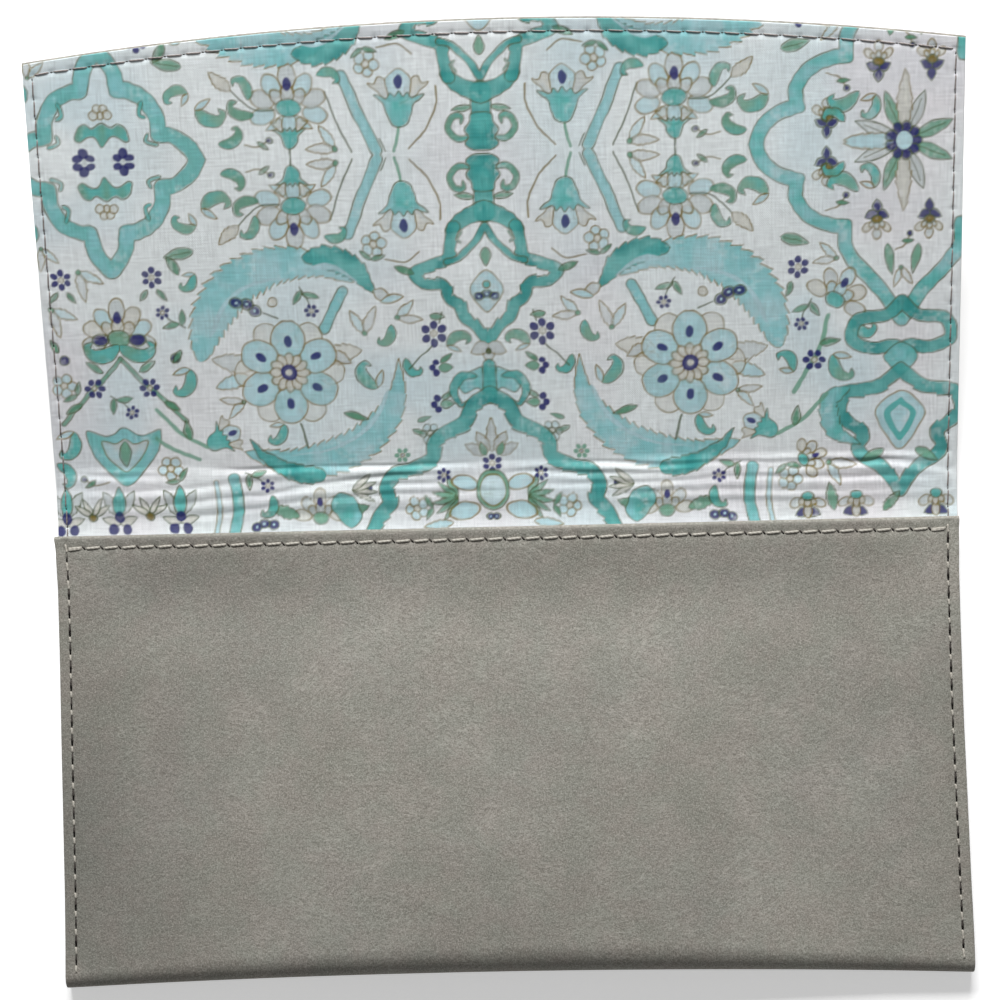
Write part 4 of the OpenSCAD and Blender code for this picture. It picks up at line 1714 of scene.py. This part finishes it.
def garden(cloth):
    """Between the column and the medallions: tulips, feathered leaves and the large rosettes."""
    # Tulips and their bows
    cloth.stem([(18.8, 0.8), (18.2, 3.2), (17.6, 5.6)], GREEN, 0.7)
    cloth.tulip(17.4, 11.8, 90, 7.6, MID_AQUA)
    cloth.stem([(9.4, 14.2), (9.7, 10.0), (12.0, 5.2), (15.6, 1.2)], GOLD, 0.42)
    cloth.stem([(21.6, 22.6), (17.4, 23.2), (14.4, 21.0)], GOLD, 0.36)
    # Slanting bands
    cloth.ribbon([(29.4, 16.8), (26.4, 9.4), (22.6, 0.8)], 2.4, MID_AQUA, tip=0, tone=AQUA)
    cloth.stem([(33.0, 13.6), (31.0, 7.4), (27.8, 0.8)], OLIVE, 0.36)
    cloth.stem([(20.6, 0.8), (22.0, 3.4)], OLIVE, 0.3)
    # Upright sprig
    cloth.stem([(41.0, 0.0), (41.0, 12.0)], OLIVE, 0.4)
    cloth.leaves(41.0, 8.6, (-150, -30), 5.6, 2.0, PALE_AQUA)
    cloth.tulip(41.0, 5.4, 90, 4.6, TEAL, blot=False)
    cloth.fan(41.0, 10.4, 90, 8.2, 7, 210, (PALE_AQUA, PETAL))
    # Hooked leaves
    cloth.hook(48.4, 9.4, 20, 5.2, LEAF, hand=-1)
    cloth.hook(49.4, 12.4, 60, 5.0, GREEN)
    cloth.stem([(44.0, 10.0), (48.6, 10.6), (53.4, 14.6)])
    cloth.leaf(53.2, 14.2, 44, 6.0, 2.4, BEIGE, teeth=5)
    cloth.hook(56.2, 3.2, 150, 5.0, LEAF)
    cloth.hook(34.6, 17.2, 190, 4.4, GREEN, hand=-1)
    # Feathered leaf over the rosette
    spine = [(63.4, 44.0), (60.4, 34.6), (54.8, 27.4), (46.6, 23.4), (37.6, 23.2), (28.6, 27.4)]
    cloth.feather(spine, 9.6, AQUA, teeth=22, skew=0.72, tone=MID_AQUA)
    cloth.feather([(60.6, 38.6), (56.8, 31.4), (50.6, 27.2), (42.0, 26.0)], 1.0, PALE_AQUA, None, teeth=0)
    spine = [(39.8, 21.8), (34.2, 21.8), (28.4, 24.6), (24.2, 29.8)]
    cloth.feather(spine, 5.4, TEAL, teeth=9, skew=0.8, tone=DEEP_TEAL)
    cloth.feather([(37.8, 23.8), (32.6, 24.2), (27.6, 27.6)], 1.3, PALE_AQUA, None, teeth=0)
    cloth.leaf(24.6, 29.2, 148, 4.6, 2.2, PETAL)
    cloth.leaf(23.0, 31.6, 190, 5.0, 1.8, PALE_AQUA)
    cloth.berries(52.6, 32.2, -24, 2.3)
    cloth.stem([(48.8, 33.6), (45.6, 35.0)])
    cloth.dot(46.8, 31.4, 1.0, BEIGE)
    cloth.ribbon([(35.6, 37.4), (31.4, 29.4)], 2.3, MID_AQUA, tip=0)
    # Pale leaves beside the rosette
    cloth.leaf(36.2, 43.6, -172, 8.6, 4.2, BEIGE, teeth=6, strength=0.7)
    cloth.leaf(34.6, 42.6, 150, 5.2, 2.4, PETAL, teeth=4)
    cloth.leaf(51.6, 45.8, -14, 9.4, 4.0, PETAL, teeth=6, strength=0.75)
    cloth.leaf(53.0, 47.6, 20, 7.4, 3.2, PALE_AQUA, teeth=5)
    cloth.hook(21.0, 37.0, 60, 4.6, GREEN)
    cloth.hook(18.2, 44.6, 130, 4.2, LEAF, hand=-1)
    # Rosette
    cloth.rosette(43.8, 47.0, 11.6, turn=30)
    # Feathered leaf under the rosette
    spine = [(19.6, 44.6), (20.6, 53.4), (25.4, 60.6), (33.4, 65.6), (43.6, 67.6), (54.6, 64.6)]
    cloth.feather(spine, 8.0, AQUA, teeth=20, skew=1.15, tone=MID_AQUA)
    cloth.feather([(22.0, 51.4), (26.4, 59.0), (34.4, 64.2), (44.6, 66.0)], 0.9, PALE_AQUA, None, teeth=0)
    spine = [(37.0, 70.4), (43.4, 69.8), (49.6, 66.4), (53.4, 61.8)]
    cloth.feather(spine, 4.0, TEAL, teeth=8, tone=DEEP_TEAL)
    cloth.stem([(41.8, 58.6), (40.6, 64.0)], OLIVE, 0.5)
    cloth.leaf(32.2, 56.4, 162, 5.6, 1.6, LEAF)
    # Bell at the leaf's end
    cloth.tulip(59.2, 61.4, -152, 5.2, TEAL)
    cloth.stem([(63.0, 63.4), (68.0, 60.4), (73.6, 54.6)], GREEN, 0.9)
    cloth.leaf(66.6, 61.6, -80, 4.4, 1.8, LEAF)
    # Blossoms near the column
    cloth.blossom(11.8, 39.2, 3.0, turn=30)
    cloth.stem([(12.4, 41.8), (15.2, 44.6), (17.6, 46.8)])
    cloth.stem([(10.6, 36.8), (10.0, 34.6)])
    cloth.leaf(12.6, 35.2, 172, 3.2, 1.4, GREEN)
    for v in (46.6, 54.8):
        cloth.leaf(11.0, v + 0.2, 180, 3.0, 2.0, GREEN)
        cloth.leaf(10.6, v - 1.0, 215, 3.2, 1.2, LEAF)
        for a, b in ((11.6, -1.1), (12.4, 0.2), (11.5, 1.3)):
            cloth.dot(a, v + b, 0.78, NAVY, None)
    cloth.wreath(13.4, 61.6, 1.6, 6, 0.85, PALE_AQUA, OLIVE, strength=0.6)
    cloth.dot(13.4, 61.6, 0.6, BEIGE, OLIVE)
    cloth.leaf(16.2, 58.6, 200, 3.2, 1.2, GREEN)
    cloth.leaf(17.4, 60.6, 160, 3.4, 1.3, LEAF)
    cloth.blossom(19.8, 66.2, 1.8, GREEN, NAVY)
    # The strip by the mouth
    cloth.ribbon([(57.4, 70.6), (56.6, 76.6), (57.8, 84.0)], 2.4, MID_AQUA, tip=0, tone=TEAL)
    cloth.ribbon([(61.4, 71.4), (60.8, 77.6), (61.8, 84.0)], 1.1, PALE_AQUA, tip=0)
    cloth.fan(38.4, 80.0, -90, 5.8, 5, 160, (BEIGE, PETAL), heart=GREEN)
    cloth.leaf(33.6, 79.4, 198, 6.4, 2.8, GREEN, teeth=5)
    cloth.leaf(43.2, 79.6, -20, 7.0, 2.8, GREEN, teeth=5)
    cloth.hook(49.0, 74.6, 70, 4.8, LEAF)
    cloth.berries(50.8, 81.6, 8, 2.0)
    cloth.dot(27.6, 73.4, 1.0, NAVY, None)
    cloth.leaves(31.0, 73.8, (150, 174, 198, 222), 5.4, 1.4, BEIGE, OLIVE)
    knob = [(30.8, 75.4), (34.2, 74.4), (36.0, 76.8), (34.8, 79.6), (31.8, 82.4), (29.4, 80.2), (29.8, 77.6)]
    cloth.shape(knob, TEAL, tone=MID_AQUA)


def left_border(cloth):
    """The quatrefoil band medallion, with small flowers above and below it."""
    middle = 81.2
    foot = middle - 0.4
    frame = [(20.4, -0.8), (18.6, 2.6), (15.4, 5.0), (12.6, 5.6), (12.2, 6.1), (11.9, 9.4), (9.8, 13.0),
             (6.4, 15.0), (4.3, 15.2), (3.9, 15.7), (3.2, 19.2), (1.2, 22.4), (0, 23.6)]
    cloth.twin(middle, frame, 3.4, TEAL, tone=MID_AQUA)
    curls = ((9.0, 12.8), (8.4, 10.2), (9.6, 9.2)), ((12.0, 3.4), (9.6, 4.2), (9.9, 6.0))
    for hand in (-1, 1):
        for curl, width in zip(curls, (0.9, 0.8)):
            cloth.ribbon([(middle + a * hand, b) for a, b in curl], width, TEAL)
        cloth.dot(middle + 4.3 * hand, 1.9, 1.05, NAVY, None, (1.0, 1.2))
        cloth.dot(middle + 3.0 * hand, 0.9, 0.9, NAVY, None, (1.2, 0.9))
        cloth.dot(middle + 5.6 * hand, 0.9, 0.9, NAVY, None, (1.2, 0.9))
        cloth.dot(middle + 4.3 * hand, 0.0, 0.62, PETAL, None, deep=0)
    crown = [(0, 3.3), (1.5, 5.2), (3.2, 5.4), (4.9, 4.3), (5.9, 4.9), (5.3, 7.0), (3.6, 8.0), (2.0, 7.3),
             (0, 8.4)]
    cloth.shape(doubled(crown, middle), LEAF, tone=TEAL)
    for turn in (0, 60, 120, 180):
        cloth.dot(*stepped(middle, 10.0, turn, 1.5), 0.95, BEIGE, strength=0.7)
    cloth.dot(middle, 9.9, 0.8, BEIGE)
    # Leaves outside it
    cloth.leaf(63.2, 19.6, 10, 6.6, 2.6, GREEN, vein=True)
    cloth.leaf(66.8, 24.6, -62, 4.6, 1.8, LEAF)
    for u in (72.6, 92.4):
        cloth.blossom(u, 25.2, 2.5, turn=30)
        cloth.leaf(u - 1.0, 28.0, 130, 3.0, 1.2, LEAF)
        cloth.leaf(u + 1.0, 28.0, 50, 3.0, 1.2, LEAF)
    # Palmette
    cloth.fan(foot, 38.6, -90, 7.8, 7, 200, (PETAL, PALE_AQUA, BEIGE), heart=GREEN)
    for u in (middle - 4.4, middle + 3.6):
        cloth.dot(u, 38.8, 1.3, NAVY, stretch=(1.4, 1))
    cloth.hook(foot, 40.0, 10, 7.0, LEAF)
    cloth.hook(foot, 40.0, 170, 7.0, LEAF, hand=-1)
    # Stems in a V and their rosettes
    for hand in (-1, 1):
        stem = ((0, 43.0), (3.8, 47.4), (8.2, 51.6), (13.6, 57.4))
        cloth.ribbon([(foot + a * hand, b) for a, b in stem], 0.9, GREEN, tip=0, line=0.24)
        cloth.blossom(foot + 6.0 * hand, 49.6, 2.4)
        cloth.leaf(foot + 9.2 * hand, 53.0, 90 - 60 * hand, 4.0, 1.6, LEAF)
        cloth.leaf(foot + 4.0 * hand, 46.0, -90 + 55 * hand, 4.2, 1.6, GREEN)
        cloth.dot(foot + 12.2 * hand, 43.2, 1.1, NAVY)
        cloth.leaf(foot + 13.4 * hand, 41.4, -60 * hand, 3.4, 1.4, LEAF)
    # Shield
    shield = [(0, 58.4), (3.6, 60.4), (8.2, 59.2), (7.0, 64.4), (3.4, 69.2), (0, 71.8)]
    field = [(a * 0.62, 64.4 + (b - 64.4) * 0.56) for a, b in shield]
    cloth.shape(doubled(shield, middle), TEAL, tone=MID_AQUA)
    cloth.shape(doubled(field, middle), PALE_AQUA, tone=PETAL)
    cloth.leaf(middle, 61.6, 90, 6.0, 2.6, GREEN)
    cloth.stem([(64.8, 66.0), (70.6, 63.6), (74.2, 61.0)], GREEN, 0.9)
    # By the mouth
    for u in (69.6, 83.2, 95.0):
        cloth.leaves(u, 78.6, (-122, -58), 6.6, 2.6, PETAL, OLIVE, teeth=4)
        cloth.leaf(u, 78.8, -90, 7.0, 2.8, TEAL)
        cloth.leaves(u, 80.4, (200, 340), 4.2, 1.8, BEIGE, OLIVE)
        for a, b in ((0, 78.9), (-1.5, 81.6), (1.5, 81.6)):
            cloth.dot(u + a, b, 1.1, NAVY, None, (1.0, 1.15))
    for u in (76.4, 89.2):
        cloth.leaves(u, 78.4, (-150, -120, -60, -30), 4.6, 1.3, BEIGE, OLIVE)
        cloth.dot(u, 78.8, 0.9, GOLD)
    cloth.hook(96.6, 66.4, 120, 5.4, TEAL)
    cloth.hook(97.4, 13.0, 60, 4.6, TEAL)


def right_border(cloth):
    """A larger pointed medallion round a star flower, over strapwork."""
    middle = 89.6
    band = [(31.6, -0.8), (30.2, 3.2), (26.8, 6.4), (22.9, 7.6), (22.7, 8.1), (22.8, 12.0), (19.8, 15.8),
            (15.2, 17.6), (12.5, 18.0), (12.3, 18.5), (12.2, 22.6), (9.2, 27.0), (4.8, 31.6), (0, 38.6)]
    cloth.twin(middle, band, 3.1, MID_AQUA, tone=TEAL)
    # Star flower
    for k in range(8):
        turn = 22.5 + 45 * k
        colour = PETAL if k % 2 else GREEN
        cloth.leaf(*stepped(middle, 0, turn, 2.4), turn, 8.8, 2.9, colour, OLIVE, vein=True)
    cloth.leaf(middle, 2.0, 90, 13.0, 3.0, BEIGE, teeth=6)
    cloth.leaf(middle - 2.0, 0.4, 180, 11.0, 2.8, PALE_AQUA, teeth=5)
    cloth.wreath(middle, 0, 2.9, 9, 1.15, NAVY)
    cloth.dot(middle, 0, 2.0, PALE_AQUA, NAVY)
    for off, v in ((-16.4, 3.6), (-5.6, 15.2), (5.6, 15.2)):
        cloth.trefoil(middle + off, v, 2.8, 2.0)
        cloth.fan(middle + off, v + 1.6, 90, 3.6, 3, 100, (BEIGE, PETAL), False, GOLD)
    cloth.hook(middle - 9.8, 10.4, 200, 6.0, GREEN)
    cloth.hook(middle - 12.6, 4.4, 160, 4.4, LEAF, hand=-1)
    cloth.leaf(middle - 3.4, 22.0, 80, 6.6, 2.0, GREEN)
    cloth.leaf(middle + 3.4, 22.0, 100, 6.6, 2.0, GREEN)
    # Outside the band
    cloth.leaf(63.4, 19.8, 14, 6.2, 2.6, GREEN, vein=True)
    cloth.blossom(67.2, 26.4, 2.5, turn=30)
    cloth.leaf(66.0, 29.6, 110, 3.6, 1.4, LEAF)
    cloth.fan(75.2, 34.0, -60, 6.8, 5, 170, (BEIGE, PETAL, PALE_AQUA))
    cloth.hook(78.6, 38.2, 30, 5.6, LEAF)
    cloth.stem([(73.6, 37.4), (72.6, 43.0), (69.4, 49.2), (66.4, 54.0)], GREEN, 1.0)
    cloth.blossom(70.8, 47.0, 2.5)
    cloth.leaf(72.2, 43.4, -10, 4.4, 1.7, LEAF)
    # Strapwork
    strap = [(0, 34.6), (3.4, 37.6), (9.4, 38.6), (10.6, 42.8), (6.4, 44.8), (1.4, 44.4), (0, 46.6)]
    cloth.twin(middle, strap, 2.8, TEAL, tone=DEEP_TEAL)
    tie = [(0, 43.6), (3.6, 46.4), (2.4, 49.0), (0, 51.0)]
    cloth.shape(doubled(tie, middle), MID_AQUA, tone=TEAL)
    lantern = [(0, 49.6), (5.0, 53.4), (12.0, 54.8), (12.8, 59.6), (8.2, 63.6), (9.0, 67.8), (3.8, 71.6),
               (0, 76.6)]
    cloth.twin(middle, lantern, 3.0, TEAL, cusps=9, tone=DEEP_TEAL)
    pane = [(0, 54.4), (5.2, 58.4), (3.4, 63.6), (0, 67.6)]
    cloth.shape(doubled(pane, middle), AQUA, tone=PALE_AQUA)
    cloth.twin(middle, [(0, 56.6), (2.8, 59.2), (1.6, 62.6), (0, 65.0)], 1.3, TEAL, None)
    for hand in (-1, 1):
        cloth.leaf(middle + 3.4 * hand, 67.4, 90 - 62 * hand, 5.6, 2.2, GREEN)
    spine = [(78.6, 53.4), (74.0, 56.4), (75.4, 63.0), (81.0, 66.4)]
    cloth.feather(spine, 4.2, MID_AQUA, teeth=8, skew=0.8, tone=TEAL)
    cloth.fan(68.4, 69.4, -20, 4.6, 5, 150, (BEIGE, PETAL))
    for u in (69.4, 80.0, 97.6):
        cloth.trefoil(u, 80.6, 3.0, 2.2)
        cloth.fan(u, 77.6, 90, 4.2, 3, 120, (PETAL, BEIGE), False, TEAL)
    cloth.leaf(75.2, 80.8, -100, 6.2, 2.4, GREEN, teeth=5)
    cloth.leaf(86.0, 81.2, -50, 5.6, 2.2, LEAF, teeth=5)


# Small motifs fill what the large ones leave free. These are the step of the search for room, the least and
# the largest half-width of a small motif, the room between two of them, and the most in each of the fields.
SEARCH_STEP = 0.8
SMALLEST = 2.7
LARGEST = 4.0
ELBOW_ROOM = 2.2
MOST_IN_FIELD = 13

# A motif with a larger half-width than this is of one of the full kinds
ROOMY = 3.4
FULL_KINDS = (1, 2, 0, 3)
SLIGHT_KINDS = (2, 4, 1, 2)

# Where the borders begin and end across the strip
BORDER_U = 62.4
EDGE_U = 98.0

# Squares inside the medallions that stay empty: side, middle, half-width
KEPT_CLEAR = ((-1, 81.2, 5.0, 9.0), (-1, 81.2, 4.0, 14.0), (1, 72.0, 3.0, 6.0))


def large_motifs(cloth):
    for side, draw in ((-1, left_border), (1, right_border), (0, garden), (0, column)):
        cloth.only = side
        draw(cloth)


def taken(side, us, vs):
    """Which points of a coarse grid the large motifs cover, on one side of the axis."""
    u, v = np.meshgrid(us, vs)
    trial = Cotton(AXIS_X + side * np.maximum(u.ravel(), 0.001), AXIS_S - v.ravel())
    large_motifs(trial)
    for where, cu, cv, r in KEPT_CLEAR:
        if where == side:
            trial.used[trial.near(cu, cv, r)] = True
    return trial.used.reshape(u.shape)


def free_spots(covered, us, vs):
    """The places and half-widths of the largest circles that are free, largest first."""
    u, v = np.meshgrid(us, vs)
    room = np.minimum.reduce([u - us[0], us[-1] - u, v - vs[0], vs[-1] - v]) + SEARCH_STEP
    for cu, cv in zip(u[covered], v[covered]):
        room = np.minimum(room, np.hypot(u - cu, v - cv))
    spots = []
    while len(spots) < MOST_IN_FIELD and room.max() >= SMALLEST:
        at = np.unravel_index(np.argmax(room), room.shape)
        r = min(room[at], LARGEST)
        spots.append((u[at], v[at], r))
        room = np.minimum(room, np.hypot(u - u[at], v - v[at]) - r - ELBOW_ROOM)
    return spots


def small_spots():
    """Free places on both sides alike near the middle, and on each side by itself in the borders."""
    vs = np.arange(0, REPEAT, SEARCH_STEP)
    inner = np.arange(0, BORDER_U, SEARCH_STEP)
    outer = np.arange(BORDER_U, EDGE_U, SEARCH_STEP)
    spots = [(0, *spot) for spot in free_spots(taken(-1, inner, vs) | taken(1, inner, vs), inner, vs)]
    for side in (-1, 1):
        spots += [(side, *spot) for spot in free_spots(taken(side, outer, vs), outer, vs)]
    return spots


def filler(cloth, kind, u, v, r):
    """One of five small motifs, in a circle of radius r."""
    turn = (37 * u + 61 * v) % 360

    def at(along, across=0.0):
        return stepped(u, v, turn, along * r, across * r)

    foot = at(-0.85)
    if kind == 0:
        cloth.stem([foot, at(0, 0.1), at(0.35)], OLIVE, 0.3)
        cloth.leaf(*at(-0.45), turn + 50, 0.9 * r, 0.34 * r, GREEN)
        cloth.leaf(*at(-0.65), turn - 56, 0.9 * r, 0.34 * r, LEAF)
        cloth.blossom(*at(0.6), 0.40 * r, turn=turn)
    elif kind == 1:
        cloth.leaf(*foot, turn + 27, 1.5 * r, 0.52 * r, PALE_AQUA, teeth=5, strength=0.6)
        cloth.leaf(*foot, turn - 27, 1.6 * r, 0.52 * r, PETAL, teeth=5, strength=0.5)
        cloth.dot(*foot, 0.14 * r, GREEN)
    elif kind == 2:
        cloth.hook(*foot, turn, 1.5 * r, GREEN)
        cloth.leaf(*foot, turn - 48, 1.0 * r, 0.36 * r, PALE_AQUA)
    elif kind == 3:
        cloth.wreath(u, v, 0.42 * r, 5, 0.28 * r, PALE_AQUA, turn=turn, strength=0.7)
        cloth.dot(u, v, 0.2 * r, BEIGE)
        cloth.leaves(*foot, (turn - 62, turn + 62), 0.8 * r, 0.3 * r, LEAF)
    else:
        cloth.stem([foot, at(0, 0.3), at(0.8)], GOLD, 0.28)
        cloth.leaf(u, v, turn + 40, 0.85 * r, 0.32 * r, LEAF)
        cloth.dot(*at(0.8), 0.2 * r, NAVY)


SMALL_SPOTS = small_spots()
GRAIN_SHOWS = 0.025


def printed(x, s):
    """The cotton's colour at each point of the strip."""
    cloth = Cotton(x, s)
    for i, (side, u, v, r) in enumerate(SMALL_SPOTS):
        kinds = FULL_KINDS if r > ROOMY else SLIGHT_KINDS
        cloth.only = side
        filler(cloth, kinds[i % len(kinds)], u, v, r)
    large_motifs(cloth)
    return np.clip(cloth.rgb * (1 + GRAIN_SHOWS * cloth.grain[:, None]), 0, 1)


def paint(piece):
    """Gives each point of the cotton its colour."""
    coords = np.zeros(len(piece.data.vertices) * 3, np.float32)
    piece.data.attributes["strip"].data.foreach_get("vector", coords)
    coords = coords.reshape(-1, 3).astype(float)
    colours = np.ones((len(coords), 4))
    colours[:, :3] = printed(coords[:, 0], coords[:, 1])
    ink = piece.data.color_attributes.new("print", "FLOAT_COLOR", "POINT")
    ink.data.foreach_set("color", np.ascontiguousarray(colours, np.float32).ravel())


# The studio

WHITE = (1.0, 1.0, 1.0)
PAPER = (0.96, 0.96, 0.96)

# The camera's place and its turns in degrees
CAMERA_PLACE = (0.01465, 0.05403, 0.5279)
CAMERA_TURN = (0.1828, 1.7155, -1.3453)
SENSOR = 36
LENS = 85.36


def linked(name, data):
    thing = bpy.data.objects.new(name, data)
    bpy.context.scene.collection.objects.link(thing)
    return thing


def make_camera():
    """A long lens straight above, a little off the middle and a little askew."""
    data = bpy.data.cameras.new("camera")
    data.sensor_fit = "HORIZONTAL"
    data.sensor_width = SENSOR
    data.sensor_height = SENSOR
    data.lens = LENS
    camera = linked("camera", data)
    camera.location = CAMERA_PLACE
    camera.rotation_euler = Euler([math.radians(turn) for turn in CAMERA_TURN])
    bpy.context.scene.camera = camera


KEY_HEIGHT = math.radians(33)
KEY_AWAY = 1.25
KEY_SIZE = (0.6, 0.34)
KEY_SHARE = 0.86
KEY_AIM = Vector((0.0, 0.03, 0.0))
KEY_ASIDE = -0.03


def make_key():
    """One large soft light low behind the flap. It gives its share of a level white surface's brightness."""
    light = bpy.data.lights.new("key", "AREA")
    light.shape = "RECTANGLE"
    light.size, light.size_y = KEY_SIZE
    light.energy = KEY_SHARE * math.pi ** 2 * KEY_AWAY ** 2 / math.sin(KEY_HEIGHT)
    lamp = linked("key", light)
    lamp.location = KEY_AIM + Vector((KEY_ASIDE, math.cos(KEY_HEIGHT), math.sin(KEY_HEIGHT))) * KEY_AWAY
    lamp.rotation_euler = (KEY_AIM - lamp.location).to_track_quat("-Z", "Y").to_euler()


def seen_directly(nodes):
    """1 for what the camera sees, also in gloss and through glass, and 0 for light on the object."""
    path = nodes.add("LightPath").outputs
    seen = nodes.sum(path["Is Camera Ray"], path["Is Glossy Ray"])
    return nodes.sum(seen, path["Is Transmission Ray"])


def make_world():
    """Weak even light on the object, and white all round for the camera."""
    world = bpy.data.worlds.new("studio")
    bpy.context.scene.world = world
    world.use_nodes = True
    nodes = Nodes(world.node_tree)
    background = world.node_tree.nodes["Background"].inputs
    nodes.put(background["Color"], WHITE)
    nodes.put(background["Strength"], nodes.remap(seen_directly(nodes), 0, 1, 1 - KEY_SHARE, 1.0))


FLOOR_REACH = 3.0
FLOOR_Z = -0.0002

# The floor's glow for the camera: its strength under the object, and where it begins to rise and is white
GLOW = 0.42
GLOW_NEAR = 0.3
GLOW_FAR = 0.9


def floor_material():
    """White paper. For what the camera sees it glows, so that only the shadow is grey."""
    material, nodes, shader = new_material("floor", Roughness=0.9, Specular_IOR_Level=0.0)
    nodes.put(shader["Base Color"], PAPER)
    nodes.put(shader["Emission Color"], WHITE)
    place = nodes.add("TexCoord").outputs["Object"]
    far = nodes.vector("LENGTH", place).outputs["Value"]
    glow = nodes.remap(far, GLOW_NEAR, GLOW_FAR, GLOW, 1.0)
    nodes.put(shader["Emission Strength"], nodes.product(seen_directly(nodes), glow))
    return material


def make_floor():
    mesh = bpy.data.meshes.new("floor")
    corners = [(x * FLOOR_REACH, y * FLOOR_REACH, FLOOR_Z) for x, y in ((-1, -1), (1, -1), (1, 1), (-1, 1))]
    mesh.from_pydata(corners, [], [(0, 1, 2, 3)])
    mesh.materials.append(floor_material())
    linked("floor", mesh)


# Assembly

# For each crease: the bodies on both sides, and the stretch over which the strip bends
CREASES_OF = {
    "crease_a": (("pocket", "spine"), BEND_A),
    "crease_b": (("spine", "flap"), BEND_B),
}


def metres(point):
    return tuple(float(v) * MM for v in np.ravel(point))


def bend(piece, crease):
    """Bakes the piece's transform into its mesh. It looks up one of the two creases but doesn't bend the
    piece through it.
    """
    pair, span = CREASES_OF[crease]
    start, end = (metres(strip_point(np.zeros(1), np.array([s]), np.array([WALL]))) for s in span)
    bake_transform(piece)


FRONT_MAGNET_DEPTH = LEATHER + (FLEECE - MAGNET_T) / 2
FLAP_MAGNET_DEPTH = LINING + 0.06


def main():
    make_camera()
    make_key()
    make_world()
    make_floor()
    bpy.context.scene.view_settings.view_transform = "Standard"

    leather = leather_material()
    cotton = cloth_material()
    felt = fleece_material()
    steel = steel_material()
    edge = edge_material()
    bend(leather_pocket_piece(leather, edge), "crease_a")
    bend(leather_flap_piece(leather, edge), "crease_b")
    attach(fleece_front_piece(felt), "pocket")
    bend(fleece_back_piece(felt), "crease_a")
    bend(fleece_flap_piece(felt), "crease_b")
    bend(lining_pocket_piece(cotton), "crease_a")
    bend(lining_flap_piece(cotton), "crease_b")
    for piece, where in thread_pieces():
        if where == "pocket":
            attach(piece, "pocket")
        else:
            bend(piece, where)
    place = FRONT_MAGNET_D, FRONT_MAGNET_DEPTH
    disc = magnet_piece("magnet_front", "front_magnet", front_point, *place, steel)
    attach(disc, "pocket")
    place = FLAP_MAGNET_S, FLAP_MAGNET_DEPTH
    disc = magnet_piece("magnet_flap", "flap_magnet", flap_skin, *place, steel)
    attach(disc, "flap")


main()
